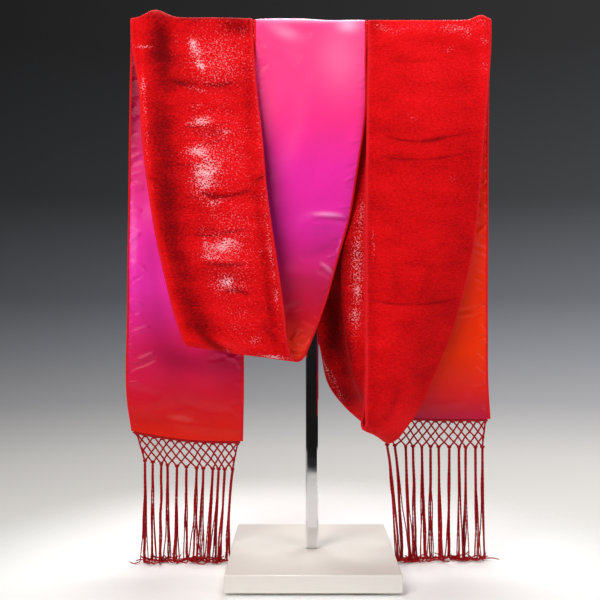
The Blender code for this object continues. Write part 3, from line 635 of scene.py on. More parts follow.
# %% Raise the creases on their faces
def crease_rise(crease, x, z):
    """The height of one crease at points given by x and z, fading towards both of its ends."""
    run = np.array([crease.to_x - crease.x, crease.to_z - crease.z])
    length = np.linalg.norm(run)
    off_x, off_z = x - crease.x, z - crease.z
    t = np.clip((off_x * run[0] + off_z * run[1]) / length**2, 0, 1)
    bend = 4 * t * (1 - t)
    off = (off_z * run[0] - off_x * run[1]) / length + crease.sag * bend
    return crease.rise * np.sqrt(bend) * np.exp(-((off / crease.width) ** 2))


def add_creases(creases):
    """The summed height of a table of creases over the whole strip."""
    total = np.zeros(cloth.shape[:2])
    for crease in creases:
        first, last = spans[crease.stretch]
        part = cloth[first : last + 1]
        total[first : last + 1] += crease_rise(crease, part[:, :, 0], part[:, :, 2])
    return total


velvet_relief = add_creases(CREASES)
satin_relief = add_creases(SATIN_CREASES)
print("creases:", len(CREASES), "on the velvet,", len(SATIN_CREASES), "on the satin")

# %% [markdown]
# The seams along both edges draw the thin satin in, so it puckers: short ridges that start at the seam and
# die out within a centimetre. They are uneven, so a seeded random generator places them. The same goes for
# the faint handling creases on the faces that the photograph doesn't show.

# %% Pucker the satin along its seams and crease the hidden faces
chance = np.random.default_rng(11)
HIDDEN_VELVET = ("left_tail", "middle", "right_tail")
HIDDEN_SATIN = ("left_front", "back", "right_front")
PUCKER_GAP = (6.0, 20.0)
PUCKER_LENGTH = (9, 20)
PUCKER_WIDTH = (0.9, 1.9)
PUCKER_HEIGHT = (0.25, 0.75)
PUCKER_REACH = 0.36
HEM_MARGIN = 10.0
HIDDEN_CREASES = 16


def add_local(total, centre_along, centre_across, turn, length, width, height):
    """Adds one short ridge to a height field, looking only at the rows near it."""
    near = np.abs(along - centre_along) < length
    off_along = (along[near] - centre_along)[:, None]
    off_across = across[near] - centre_across
    on = off_along * math.sin(turn) + off_across * math.cos(turn)
    off = off_along * math.cos(turn) - off_across * math.sin(turn)
    fade = np.clip(1 - (2 * on / length) ** 2, 0, 1)
    total[near] += height * fade * np.exp(-((off / width) ** 2))


puckers = 0
for at_end in (0.0, 1.0):
    place_along = HEM_MARGIN
    while place_along < STRIP_LENGTH - HEM_MARGIN:
        length = chance.uniform(*PUCKER_LENGTH)
        turn = chance.uniform(-0.75, 0.75)
        row = int(np.searchsorted(along, place_along))
        centre = at_end * arc_width[row, 0] + (1 - 2 * at_end) * length * PUCKER_REACH
        size = chance.uniform(*PUCKER_HEIGHT) * (1 if chance.random() < 0.7 else -1)
        add_local(satin_relief, place_along, centre, turn, length, chance.uniform(*PUCKER_WIDTH), size)
        place_along += chance.uniform(*PUCKER_GAP)
        puckers += 1

for names, relief, height in ((HIDDEN_VELVET, velvet_relief, 0.6), (HIDDEN_SATIN, satin_relief, 0.9)):
    for name in names:
        first, last = spans[name]
        for _ in range(HIDDEN_CREASES):
            centre_along = chance.uniform(along[first] + 30, along[last] - 20)
            centre_across = chance.uniform(15, 100)
            turn = chance.normal(0.0, 0.25)
            size = height * chance.uniform(0.4, 1.0) * chance.choice([-1, -1, 1])
            length = chance.uniform(18, 60)
            add_local(relief, centre_along, centre_across, turn, length, chance.uniform(1.0, 3.2), size)
print("puckers along the seams:", puckers)

# %% [markdown]
# No hung satin is quite even. A slow random swell of a few tenths of a millimetre breaks up its long
# highlights. It is made as a coarse grid of random heights, blended smoothly.

# %% Let both layers swell and sink a little
Swell = namedtuple("Swell", "height cell_along cell_across seed")
SATIN_SWELLS = (Swell(0.30, 34, 26, 3), Swell(0.12, 13, 17, 4))
VELVET_SWELLS = (Swell(0.22, 12, 24, 5), Swell(0.14, 6, 15, 6))
SATIN_RELIEF_LIMITS = (-0.8, 2.2)
VELVET_RELIEF_LIMITS = (-1.1, 2.2)
SEAM_CALM = 8
LIP_START = 1.5
LIP_CALM = 2.5


def soft_swell(swell):
    """Smooth random heights over the strip, one random number for each cell."""
    source = np.random.default_rng(swell.seed)
    count_along = int(STRIP_LENGTH / swell.cell_along) + 3
    count_across = int(CLOTH_WIDTH / swell.cell_across) + 3
    values = source.uniform(-1, 1, (count_along, count_across))
    row = np.broadcast_to((along / swell.cell_along)[:, None], across.shape)
    column = np.clip(across / swell.cell_across, 0, count_across - 1.001)
    i, j = row.astype(int), column.astype(int)
    t, u = row - i, column - j
    t, u = t * t * (3 - 2 * t), u * u * (3 - 2 * u)
    top = values[i, j] * (1 - u) + values[i, j + 1] * u
    bottom = values[i + 1, j] * (1 - u) + values[i + 1, j + 1] * u
    return swell.height * (top * (1 - t) + bottom * t)


from_seam = np.minimum(across, arc_width - across)
edge_fade = np.clip(from_seam / SEAM_CALM, 0, 1)
satin_relief += sum(soft_swell(swell) for swell in SATIN_SWELLS) * edge_fade
velvet_relief += sum(soft_swell(swell) for swell in VELVET_SWELLS) * edge_fade
lip_fade = np.clip((from_seam - LIP_START) / LIP_CALM, 0, 1)
satin_relief = np.clip(satin_relief * lip_fade, *SATIN_RELIEF_LIMITS)
velvet_relief = np.clip(velvet_relief, *VELVET_RELIEF_LIMITS)
print("height of the satin's relief:", np.round(np.ptp(satin_relief), 2), "mm")

# %% [markdown]
# ## Where the pile catches the light
# Velvet is short upright pile. Where a hand or a fold has laid it over, it shines pale, and these patches
# are what makes it look like velvet. Here they are painted highlights: a patch is a soft ellipse with its own
# strength, stored on the cloth as a number for each point, so the finish can paint it in as pale sparkle.

# %% Mark the painted highlights where the pile lies over
Patch = namedtuple("Patch", "stretch x z wide high turn strength")
SMALL_GLINT_SPREAD = 1.35
SMALL_PATCH = 16
STRONG_PATCH = 0.3


def patches_seen(tables, small_spread=1.0):
    """Patches in mm, from rows with the middle and both half sizes in pixels, the turn and the strength."""
    made = []
    for stretch, table in tables.items():
        for right, down, wide, high, turn, strength in table:
            x, z, pixel = seen_on(stretch, right, down)
            if max(wide, high) < SMALL_PATCH and strength > STRONG_PATCH:
                pixel *= small_spread
            made.append(Patch(stretch, x, z, wide * pixel, high * pixel, turn, strength))
    return made


# Painted highlights: pale pink patches where the pile shines.
GLINTS = patches_seen({
    "left_front": (
        (194, 46, 5, 10, -8, 0.9), (201, 65, 4.5, 9, -25, 0.85), (215, 42, 3, 10, 0, 0.4),
        (243, 34, 4, 7, 20, 0.45), (230, 56, 7, 15, 0, 0.28), (176, 40, 5, 8, 0, 0.3),
        (143, 47, 8, 1.6, 5, 0.75), (143.5, 86, 2.2, 8, 0, 0.85), (146, 108, 1.8, 16, -6, 0.5),
        (199, 90.5, 11, 2, 15, 0.6), (197, 107, 7, 4, -10, 0.42), (203, 122, 8, 4.5, 0, 0.95),
        (192, 124, 6, 3.5, 0, 0.6), (227, 132, 6, 3.5, -15, 0.65), (199, 138, 11, 2, 0, 0.35),
        (200, 152, 12, 6, 0, 0.9), (207, 161, 9, 5, 0, 0.75), (228, 150, 5, 9, 15, 0.4),
        (205, 174, 11, 6, 0, 0.95), (205, 185, 10, 5, 0, 0.9), (214, 203, 10, 3.5, -10, 0.7),
        (214, 214, 5, 8, 0, 0.4), (201, 230, 4, 5, 0, 0.4), (225, 245, 11, 8, 0, 0.9),
        (215, 256, 14, 6, 0, 0.7), (206, 246, 3, 10, -4, 0.7), (225, 283, 8, 6, 0, 0.95),
        (243, 286, 6, 3, 25, 0.5), (220, 290, 8, 3, 0, 0.5), (266, 200, 2.5, 26, -7, 0.4),
        (271, 255, 3, 30, -7, 0.55), (276, 296, 2.5, 10, -7, 0.6), (255, 340, 5, 6, 20, 0.45),
        (228, 352, 3, 4, 20, 0.6), (240, 310, 18, 16, 20, 0.16), (152, 187, 3, 7, -10, 0.25),
        (215, 350, 14, 2.5, 15, 0.3), (262, 140, 2.2, 18, -5, 0.35), (252, 66, 2, 24, -3, 0.35),
        (275, 356, 14, 1.6, 6, 0.85), (208, 167, 14, 13, 0, 0.82), (206, 182, 14, 7, 0, 0.78),
        (203, 121, 12, 5, 0, 0.72), (226, 247, 15, 9, 0, 0.8), (217, 60, 36, 38, 0, 0.5),
        (218, 150, 38, 60, 0, 0.42), (232, 240, 34, 62, -4, 0.38), (238, 318, 24, 34, -10, 0.28),
        (197, 52, 9, 18, -12, 0.8), (203, 180, 17, 26, 0, 0.62), (202, 150, 16, 12, 0, 0.66),
        (216, 250, 19, 15, 0, 0.66), (226, 284, 14, 10, 0, 0.6), (258, 110, 3, 80, -4, 0.42),
        (270, 250, 3.5, 80, -8, 0.46), (146, 120, 3, 60, -5, 0.42),
    ),
    "back": (
        (362, 214, 4, 14, 8, 0.6), (357, 252, 5, 20, 4, 0.7), (358, 288, 6, 22, 0, 0.75),
        (356, 318, 5, 11, 0, 0.7), (358, 268, 8, 66, 2, 0.62), (328, 370, 2, 14, -22, 0.65),
        (336, 382, 2, 14, -22, 0.5), (341, 396, 3, 6, -30, 0.4), (352, 335, 6, 7, 0, 0.25),
        (359, 185, 2.5, 12, 10, 0.3),
    ),
    "right_front": (
        (400, 18.5, 32, 1.5, 2, 0.8), (455, 21, 34, 1.5, 2, 0.8), (383, 28, 9, 3.5, 15, 0.5),
        (400, 31, 8, 2.5, -20, 0.45), (420, 27, 6, 3, 0, 0.35), (455, 29, 14, 4, 0, 0.6),
        (467, 32, 6, 6, 0, 0.55), (484, 40, 4, 4, 0, 0.5), (478, 24, 8, 4, 0, 0.4),
        (448, 50, 10, 6, 0, 0.3), (484, 66, 4, 5, 0, 0.4), (412, 118, 6, 4, 30, 0.32),
        (452, 178, 4, 6, 0, 0.26), (373, 245, 2.5, 14, 0, 0.35), (372, 50, 3, 22, 0, 0.22),
        (440, 85, 40, 30, 0, 0.1), (430, 125, 40, 10, 0, 0.1), (390, 350, 20, 18, 0, 0.1),
    ),
}, SMALL_GLINT_SPREAD)
print("patches of laid pile:", len(GLINTS))

# %% [markdown]
# Between the patches the red is painted deeper in the hollows and brighter on the crowns, as painted shade
# and painted light. The satin has its own slow painted shade and light, after how it hangs. Both are soft
# patches too: a negative strength is darker.

# %% Write down the painted shade and light of each face
# Painted shade and painted light on the velvet, one soft patch a row.
VELVET_PAINTED_SHADING = patches_seen({
    "left_front": (
        (160, 42, 11, 28, 0, -0.7), (175, 62, 18, 10, 20, -0.3), (205, 21, 62, 6, 0, -0.45),
        (236, 30, 16, 7, 0, -0.5), (162, 110, 14, 45, 0, -0.45), (168, 170, 14, 42, -3, -0.5),
        (172, 228, 14, 45, -8, -0.5), (187, 290, 13, 45, -12, -0.46), (207, 330, 10, 24, -38, -0.45),
        (188, 84, 26, 6, 6, -0.3), (226, 84, 18, 5, -4, -0.2), (215, 133, 26, 5, 0, -0.25),
        (215, 60, 30, 40, 0, 0.25), (224, 150, 38, 36, 0, 0.3), (235, 220, 24, 40, -6, 0.2),
        (226, 255, 34, 18, 0, 0.3), (232, 300, 22, 12, 0, 0.15), (222, 195, 30, 5, 0, -0.3),
        (220, 232, 30, 4, 0, -0.25), (222, 270, 34, 6, 0, -0.25), (143, 100, 4, 45, -3, 0.45),
        (150, 180, 4, 45, -6, 0.35), (163, 250, 4, 45, -14, 0.3), (180, 322, 4, 30, -18, 0.3),
        (249, 110, 4, 45, -3, -0.25), (260, 230, 4, 60, -8, -0.3), (270, 310, 4, 34, -8, -0.35),
        (225, 345, 40, 9, 8, 0.6), (240, 320, 26, 20, -10, 0.2),
    ),
    "back": (
        (336, 330, 12, 60, -14, -0.9), (343, 262, 8, 50, 4, -0.6), (346, 395, 9, 14, -35, -0.5),
        (330, 400, 8, 20, -30, -0.2), (357, 345, 7, 30, 0, 0.15), (356, 392, 7, 22, 0, -0.15),
        (358, 410, 8, 10, -30, 0.2),
    ),
    "right_front": (
        (420, 50, 60, 40, 0, 0.2), (430, 28, 60, 8, 0, 0.4), (374, 26, 6, 10, 0, -0.4),
        (483, 70, 6, 50, 0, 0.25), (425, 100, 50, 22, 0, 0.15), (440, 145, 44, 5, 0, -0.15),
        (425, 158, 46, 4, 0, -0.15), (371, 300, 5, 130, 0, -0.2), (415, 302, 44, 5, 0, -0.2),
        (392, 345, 20, 34, 0, 0.12), (470, 190, 16, 60, 10, -0.12), (395, 415, 26, 26, 0, 0.3),
        (440, 330, 20, 50, 18, -0.12),
    ),
})

# Painted shadow and painted highlight on the satin, one soft patch a row.
SATIN_PAINTED_SHADING = patches_seen({
    "middle": (
        (310, 19, 60, 3.5, 0, 0.9), (348, 26, 10, 6, 0, 0.5), (285, 32, 14, 6, 20, 0.25),
        (262, 120, 10, 70, -6, -0.35), (271, 185, 15, 62, -10, -0.55), (282, 255, 12, 50, -16, -0.35),
        (292, 315, 10, 32, -18, -0.15), (328, 215, 12, 2, 3, 0.35), (327, 268, 7, 2, 40, 0.2),
        (330, 247, 20, 8, 0, -0.15), (340, 60, 20, 30, 0, 0.12), (320, 300, 20, 16, 0, -0.1),
    ),
    "left_tail": (
        (131, 76, 7, 50, 0, -0.85), (132, 130, 5, 30, 0, -0.3), (160, 330, 18, 60, -25, -0.25),
        (150, 250, 8, 60, -8, -0.15), (190, 362, 40, 12, 10, -0.35), (134, 245, 4, 50, 0, 0.15),
        (150, 420, 40, 8, 0, -0.1),
    ),
    "right_tail": (
        (468, 230, 8, 60, 8, -0.2), (455, 300, 8, 40, 14, -0.25), (440, 345, 10, 40, 22, -0.3),
        (415, 400, 14, 20, 25, -0.3), (455, 410, 40, 8, 0, -0.12),
    ),
})
print("tones:", len(VELVET_PAINTED_SHADING), "and", len(SATIN_PAINTED_SHADING))

# %% [markdown]
# The patches become one number for each point of the cloth. The hidden faces get theirs, random painted
# highlights, from the seeded random generator. Where a crease sinks, a number paints shade into the pile.

# %% Lay the patches on the cloth
HIDDEN_PATCHES = 9
HIDDEN_STRENGTH = (0.25, 0.6)
# How much the random painted highlights of the hidden faces lighten their painted shading.
HIDDEN_PAINTED_LIGHT = 0.4
# Painted shade in sunken velvet creases grows with their depth in mm and stops at the second strength.
FULL_CREASE_SHADE = 0.75
DARKEST_CREASE_SHADE = 0.75


def patch_strength(patch, x, z):
    """A patch's strength in its middle, falling to 0 round it. Turns go clockwise, seen from the front."""
    turn = math.radians(patch.turn)
    off_x, off_z = x - patch.x, z - patch.z
    u = (off_x * math.cos(turn) - off_z * math.sin(turn)) / patch.wide
    v = (off_x * math.sin(turn) + off_z * math.cos(turn)) / patch.high
    return patch.strength * np.exp(-(u * u + v * v))


def on_stretches(patches, gather):
    """Lays the patches on their stretches, each added to what is there or compared with it by gather."""
    total = np.zeros(cloth.shape[:2])
    for patch in patches:
        first, last = spans[patch.stretch]
        part = cloth[first : last + 1]
        new = patch_strength(patch, part[:, :, 0], part[:, :, 2])
        total[first : last + 1] = gather(total[first : last + 1], new)
    return total


# The painted highlights become one number for each point of the velvet.
painted_glints = on_stretches(GLINTS, np.maximum)
# The painted shade and light of the velvet and of the satin, as numbers on the cloth.
velvet_painted_shading = on_stretches(VELVET_PAINTED_SHADING, np.add)
satin_painted_shading = on_stretches(SATIN_PAINTED_SHADING, np.add)
# Random painted highlights on the velvet faces out of view.
for name in HIDDEN_VELVET:
    first, last = spans[name]
    for _ in range(HIDDEN_PATCHES):
        centre_along = chance.uniform(along[first], along[last])
        strength = chance.uniform(*HIDDEN_STRENGTH)
        off_along = (along[first : last + 1, None] - centre_along) / chance.uniform(6, 26)
        off_across = (across[first : last + 1] - chance.uniform(25, 90)) / chance.uniform(9, 24)
        patch = strength * np.exp(-(off_along**2 + off_across**2))
        painted_glints[first : last + 1] = np.maximum(painted_glints[first : last + 1], patch)
        velvet_painted_shading[first : last + 1] += HIDDEN_PAINTED_LIGHT * patch
# Painted shade in the velvet's sunken creases.
crease_shade = np.clip(-add_creases(CREASES) / FULL_CREASE_SHADE, 0, DARKEST_CREASE_SHADE)
print("patches:", len(GLINTS), "by hand and", HIDDEN_PATCHES * len(HIDDEN_VELVET), "by chance")

# %% [markdown]
# ## Shared effects
# Three effects turn up on more than one finish, so each is a node group with its own inputs: threads, which
# raise a fine weave; uneven dye, which makes a colour a little lighter and darker in soft patches; and
# handling, which dulls a polished or painted face where hands have been.

# %% A small helper that starts a node group
def new_group(name, inputs, outputs):
    """A shader node group with named sockets. inputs gives (name, kind, default), outputs (name, kind)."""
    group = bpy.data.node_groups.new(name, "ShaderNodeTree")
    for socket_name, kind, default in inputs:
        socket = group.interface.new_socket(socket_name, in_out="INPUT", socket_type=f"NodeSocket{kind}")
        if default is not None:
            socket.default_value = default
    for socket_name, kind in outputs:
        group.interface.new_socket(socket_name, in_out="OUTPUT", socket_type=f"NodeSocket{kind}")
    return group, group.nodes.new("NodeGroupInput"), group.nodes.new("NodeGroupOutput")


def centred(tree, noise, amount):
    """A value from 0 to 1, turned into a swing of this amount round 0."""
    return add_math(tree, "MULTIPLY", add_math(tree, "SUBTRACT", noise, 0.5), amount)


def add_noise(tree, vector, scale, detail=2.0, roughness=0.5, stretch=None):
    """A noise texture over a vector. stretch multiplies the vector: 0.5 makes the noise twice as wide."""
    if stretch is not None:
        squeeze = tree.nodes.new("ShaderNodeVectorMath")
        squeeze.operation = "MULTIPLY"
        squeeze.inputs[1].default_value = stretch
        tree.links.new(vector, squeeze.inputs[0])
        vector = squeeze.outputs[0]
    noise = tree.nodes.new("ShaderNodeTexNoise")
    noise.inputs["Detail"].default_value = detail
    noise.inputs["Roughness"].default_value = roughness
    if isinstance(scale, (int, float)):
        noise.inputs["Scale"].default_value = scale
    else:
        tree.links.new(scale, noise.inputs["Scale"])
    tree.links.new(vector, noise.inputs["Vector"])
    return noise.outputs["Fac"]


print("node group helpers ready")

# %% [markdown]
# Threads: two sets of fine waves, one across and one along the cloth. Added up they make a weave. A little
# noise keeps them from being as even as wire mesh.

# %% Build the threads group
threads, given, result = new_group(
    "threads",
    [("Vector", "Vector", None), ("Threads per Metre", "Float", 1600.0), ("Unevenness", "Float", 0.3)],
    [("Height", "Float")],
)
parts = threads.nodes.new("ShaderNodeSeparateXYZ")
threads.links.new(given.outputs["Vector"], parts.inputs[0])
wobble = add_noise(threads, given.outputs["Vector"], 260.0)
wobble = add_math(threads, "MULTIPLY", wobble, given.outputs["Unevenness"])
waves = []
for direction_name in ("X", "Y"):
    turns = add_math(threads, "MULTIPLY", parts.outputs[direction_name], given.outputs["Threads per Metre"])
    angle = add_math(threads, "MULTIPLY", add_math(threads, "ADD", turns, wobble), math.tau)
    wave = add_math(threads, "SINE", angle, 0.0)
    waves.append(add_math(threads, "MULTIPLY", wave, 0.25))
height = add_math(threads, "ADD", add_math(threads, "ADD", waves[0], waves[1]), 0.5)
threads.links.new(height, result.inputs["Height"])
print("group:", threads.name)

# %% [markdown]
# Uneven dye: slow noise, turned into a factor a little above and below one.

# %% Build the uneven dye group
uneven_dye, given, result = new_group(
    "uneven_dye",
    [("Vector", "Vector", None), ("Patches per Metre", "Float", 40.0), ("Amount", "Float", 0.1)],
    [("Factor", "Float")],
)
patchy = add_noise(uneven_dye, given.outputs["Vector"], given.outputs["Patches per Metre"], 3.0, 0.55)
swing = centred(uneven_dye, patchy, 2.0)
swing = add_math(uneven_dye, "MULTIPLY", swing, given.outputs["Amount"])
uneven_dye.links.new(add_math(uneven_dye, "ADD", swing, 1.0), result.inputs["Factor"])
print("group:", uneven_dye.name)

# %% [markdown]
# Handling: soft smears that raise the roughness of the chrome and the lacquer by a small amount.

# %% Build the handling group
handling, given, result = new_group(
    "handling",
    [
        ("Vector", "Vector", None),
        ("Smears per Metre", "Float", 30.0),
        ("Clean", "Float", 0.05),
        ("Worn", "Float", 0.15),
    ],
    [("Roughness", "Float")],
)
smears = add_noise(handling, given.outputs["Vector"], given.outputs["Smears per Metre"], 4.0, 0.6)
spread = handling.nodes.new("ShaderNodeMapRange")
spread.inputs["From Min"].default_value = 0.35
spread.inputs["From Max"].default_value = 0.75
handling.links.new(smears, spread.inputs["Value"])
handling.links.new(given.outputs["Clean"], spread.inputs["To Min"])
handling.links.new(given.outputs["Worn"], spread.inputs["To Max"])
handling.links.new(spread.outputs["Result"], result.inputs["Roughness"])
print("group:", handling.name)

# %% [markdown]
# A group comes into a material as one node. The other helpers here do the small jobs that most finishes
# need: mix two colours, add a bump, read a number that the cloth carries, and find a point's place on the
# flat cloth.

# %% Helpers that every finish uses
def place_group(tree, group, vector, **values):
    """Adds the group to a material, feeds its vector and sets its other inputs by name."""
    node = tree.nodes.new("ShaderNodeGroup")
    node.node_tree = group
    tree.links.new(vector, node.inputs["Vector"])
    for name, value in values.items():
        node.inputs[name.replace("_", " ")].default_value = value
    return node.outputs[0]


def mix_colours(tree, factor, first, second, blend="MIX"):
    """A colour Mix node. factor, first and second are sockets or values."""
    node = tree.nodes.new("ShaderNodeMix")
    node.data_type = "RGBA"
    node.blend_type = blend
    for socket, value in zip((node.inputs[0], node.inputs[6], node.inputs[7]), (factor, first, second)):
        if isinstance(value, bpy.types.NodeSocket):
            tree.links.new(value, socket)
        else:
            socket.default_value = value
    return node.outputs[2]


def add_bump(tree, shader, height, distance, strength=1.0):
    """Shades the surface as if it had bumps. A height of 1 stands for this distance in metres."""
    bump = tree.nodes.new("ShaderNodeBump")
    bump.inputs["Distance"].default_value = distance
    bump.inputs["Strength"].default_value = strength
    tree.links.new(height, bump.inputs["Height"])
    tree.links.new(bump.outputs["Normal"], shader.inputs["Normal"])


def stored(tree, name):
    """The number that the cloth carries under this name."""
    node = tree.nodes.new("ShaderNodeAttribute")
    node.attribute_name = name
    return node.outputs["Fac"]


def cloth_place(tree):
    """Where a point lies on the flat cloth, in metres across and along it."""
    node = tree.nodes.new("ShaderNodeUVMap")
    node.uv_map = "flat_cloth"
    return node.outputs["UV"]


print("material helpers ready")

# %% [markdown]
# ## Velvet
# Silk velvet is nearly black-red where one looks straight into the pile and bright red where it leans away.
# So one number, for the lean of the pile and the painted shade, picks the red from a ramp. It adds up slow
# waves, streaks across the cloth, a speckle of about two millimetres and the painted shade and light marked
# above. Sunken creases get painted shade on top.

# %% Colour the pile by its lean and the painted shade
PILE_RAMP = ((0.0, "660004"), (0.22, "900006"), (0.5, "C4050B"), (0.78, "E00C13"), (1.0, "F01C24"))
# The red of the painted shade in sunken creases.
VELVET_CREASE_SHADE = linear("6E0005")
SLOW_WAVES = 0.65
STREAKS = 0.8
SPECKLE = 0.35
SPECKLE_ON_GLINTS = 1.2
PAINTED_SHADING_AMOUNT = 0.62
USUAL_LEAN = 0.55
WIDE_ACROSS = (0.5, 1.0, 1.0)

velvet, tree, shader = new_material("red_velvet")
where = cloth_place(tree)
lie = add_noise(tree, where, 50.0, 4.0, 0.6, WIDE_ACROSS)
streaks = add_noise(tree, where, 620.0, 2.0, 0.6, WIDE_ACROSS)
speckle = add_noise(tree, where, 560.0, 1.0, 0.8)
roughed = add_math(tree, "MULTIPLY", stored(tree, "painted_glints"), SPECKLE_ON_GLINTS)
roughed = add_math(tree, "ADD", roughed, SPECKLE)
lean_and_shade = add_math(tree, "ADD", centred(tree, lie, SLOW_WAVES), centred(tree, streaks, STREAKS))
lean_and_shade = add_math(tree, "ADD", lean_and_shade, centred(tree, speckle, roughed))
# Adds the painted shade and light of the velvet.
lean_and_shade = add_math(tree, "ADD", lean_and_shade, add_math(tree, "MULTIPLY", stored(tree, "velvet_painted_shading"), PAINTED_SHADING_AMOUNT))
lean_and_shade = add_math(tree, "ADD", lean_and_shade, USUAL_LEAN, clamp=True)
ramp = tree.nodes.new("ShaderNodeValToRGB")
fill_ramp(ramp.color_ramp, PILE_RAMP)
tree.links.new(lean_and_shade, ramp.inputs["Fac"])
# Paints shade into the sunken creases.
red = mix_colours(tree, stored(tree, "crease_shade"), ramp.outputs["Color"], VELVET_CREASE_SHADE)
print("reds of the pile:", len(PILE_RAMP))

# %% [markdown]
# Where the pile lies flat it is painted pale pink, as a painted highlight. The patches marked above are
# broken
# up into single bright specks: a speck shows where the grain is higher than a level, and the level sinks as
# the patch gets stronger. The specks are also glossier than the rest.

# %% Break the painted highlights up into bright specks
# The pale pinks of the painted highlights.
GLINT_DIM = linear("DE4A58")
GLINT_BRIGHT = linear("F7B4BC")
GRAIN_CONTRAST = 1.7
CLOUD_SHARE = 1.5
CLOUD_BASE = 0.25
SPECK_LEVEL = 0.80
LEVEL_DROP = 0.55
SPECK_SHARPNESS = 4.5
PATCH_EDGE = 4.0

grain = add_math(tree, "ADD", centred(tree, speckle, GRAIN_CONTRAST), 0.5, clamp=True)
cloudy = add_noise(tree, where, 130.0, 3.0, 0.6, (0.6, 1.0, 1.0))
cloudy = add_math(tree, "ADD", add_math(tree, "MULTIPLY", cloudy, CLOUD_SHARE), CLOUD_BASE)
glinting = add_math(tree, "MULTIPLY", stored(tree, "painted_glints"), cloudy)
level = add_math(tree, "SUBTRACT", SPECK_LEVEL, add_math(tree, "MULTIPLY", glinting, LEVEL_DROP))
glint = add_math(tree, "MULTIPLY", add_math(tree, "SUBTRACT", grain, level), SPECK_SHARPNESS, clamp=True)
glint = add_math(tree, "MULTIPLY", glint, add_math(tree, "MULTIPLY", glinting, PATCH_EDGE, clamp=True))
shine = mix_colours(tree, add_math(tree, "MULTIPLY", glinting, glinting, clamp=True), GLINT_DIM, GLINT_BRIGHT)
print("specks ready")

# %% [markdown]
# A brighter line of painted sheen runs along both seams, at the selvage, the woven edge. Velvet has next to
# no gloss of its own: a weak sheen gives the soft light at its edges, and a bump of speckle and streaks
# stands for the pile.

# %% Put the velvet together
# The colour of the painted sheen along both seams.
SEAM_SHEEN = linear("DC202A")
PILE_ROUGHNESS = 0.82
SPECK_GLOSS = 0.30
PILE_HEIGHT = 0.0004
SPECKLE_SHARE = 0.6
STREAK_SHARE = 0.4

# Paints the pale highlight specks into the red.
colour = mix_colours(tree, glint, red, shine)
# Paints the sheen line along the seams.
colour = mix_colours(tree, stored(tree, "painted_seam_sheen"), colour, SEAM_SHEEN)
tree.links.new(colour, shader.inputs["Base Color"])
roughness = add_math(tree, "SUBTRACT", PILE_ROUGHNESS, add_math(tree, "MULTIPLY", glint, SPECK_GLOSS))
tree.links.new(roughness, shader.inputs["Roughness"])
shader.inputs["Specular IOR Level"].default_value = 0.06
shader.inputs["Sheen Weight"].default_value = 0.08
shader.inputs["Sheen Roughness"].default_value = 0.30
shader.inputs["Sheen Tint"].default_value = linear("FF6070")
pile = add_math(tree, "MULTIPLY", speckle, SPECKLE_SHARE)
pile = add_math(tree, "ADD", pile, add_math(tree, "MULTIPLY", streaks, STREAK_SHARE))
add_bump(tree, shader, pile, PILE_HEIGHT, 0.5)
print("material:", velvet.name)

# %% [markdown]
# ## Satin
# The lining is shaded in the dyeing: its colour runs from orange through crimson to magenta and back along
# the strip. A colour ramp over the distance from the left hem does just that. The painted shadow and painted
# highlight marked above make it darker in the hollows and lighter on the crowns. Satin shines because its
# long floating threads lie side by side, so its gloss is stretched across them: that is the anisotropy.

# %% Make the shaded satin
SHADES = (
    (0, "D82012"), (14, "D01E1A"), (40, "C8142A"), (95, "DA1C60"), (150, "FA34B8"), (205, "FA32B4"),
    (265, "EE3488"), (345, "C60A44"), (450, "D81E28"), (620, "F03818"), (790, "F03018"), (815, "CA1026"),
    (850, "C41A50"), (900, "D82498"), (960, "E6289E"), (1010, "F23084"), (1080, "FA4284"), (1130, "FC488C"),
    (1300, "F03C20"), (1480, "D0183A"), (1640, "DA2890"), (1800, "C81A40"), (1990, "EE1810"),
    (2120, "F01A04"), (2220, "EA2802"), (2300, "EC3000"), (2338, "D8201C"), (2356, "C41A30"),
    (2380, "B4183E"),
)
# The colours of the satin's painted shadow and painted highlight.
SATIN_SHADOW = linear("58001A")
SATIN_LIGHT = linear("FFD0F4")
WEAVE_HEIGHT = 0.00004

satin, tree, shader = new_material("shaded_satin")
where = cloth_place(tree)
ramp = tree.nodes.new("ShaderNodeValToRGB")
fill_ramp(ramp.color_ramp, [(min(1.0, at / STRIP_LENGTH), shade) for at, shade in SHADES])
tree.links.new(stored(tree, "along_strip"), ramp.inputs["Fac"])
dye = place_group(tree, uneven_dye, where, Patches_per_Metre=28.0, Amount=0.09)
grey = tree.nodes.new("ShaderNodeCombineColor")
for channel in grey.inputs:
    tree.links.new(dye, channel)
colour = mix_colours(tree, 1.0, ramp.outputs["Color"], grey.outputs["Color"], "MULTIPLY")
# Paints shadow where the satin's painted shading is negative and a highlight where it is positive.
darker = add_math(tree, "MULTIPLY", stored(tree, "satin_painted_shading"), -1.0, clamp=True)
lighter = add_math(tree, "MULTIPLY", stored(tree, "satin_painted_shading"), 1.0, clamp=True)
colour = mix_colours(tree, darker, colour, SATIN_SHADOW)
colour = mix_colours(tree, lighter, colour, SATIN_LIGHT)
tree.links.new(colour, shader.inputs["Base Color"])
shader.inputs["Roughness"].default_value = 0.33
shader.inputs["Specular IOR Level"].default_value = 0.14
shader.inputs["Anisotropic"].default_value = 0.45
tangent = tree.nodes.new("ShaderNodeTangent")
tangent.direction_type = "UV_MAP"
tangent.uv_map = "flat_cloth"
tree.links.new(tangent.outputs["Tangent"], shader.inputs["Tangent"])
weave = place_group(tree, threads, where, Threads_per_Metre=1500.0, Unevenness=0.5)
add_bump(tree, shader, weave, WEAVE_HEIGHT, 0.5)
print("material:", satin.name, "with", len(SHADES), "shades")

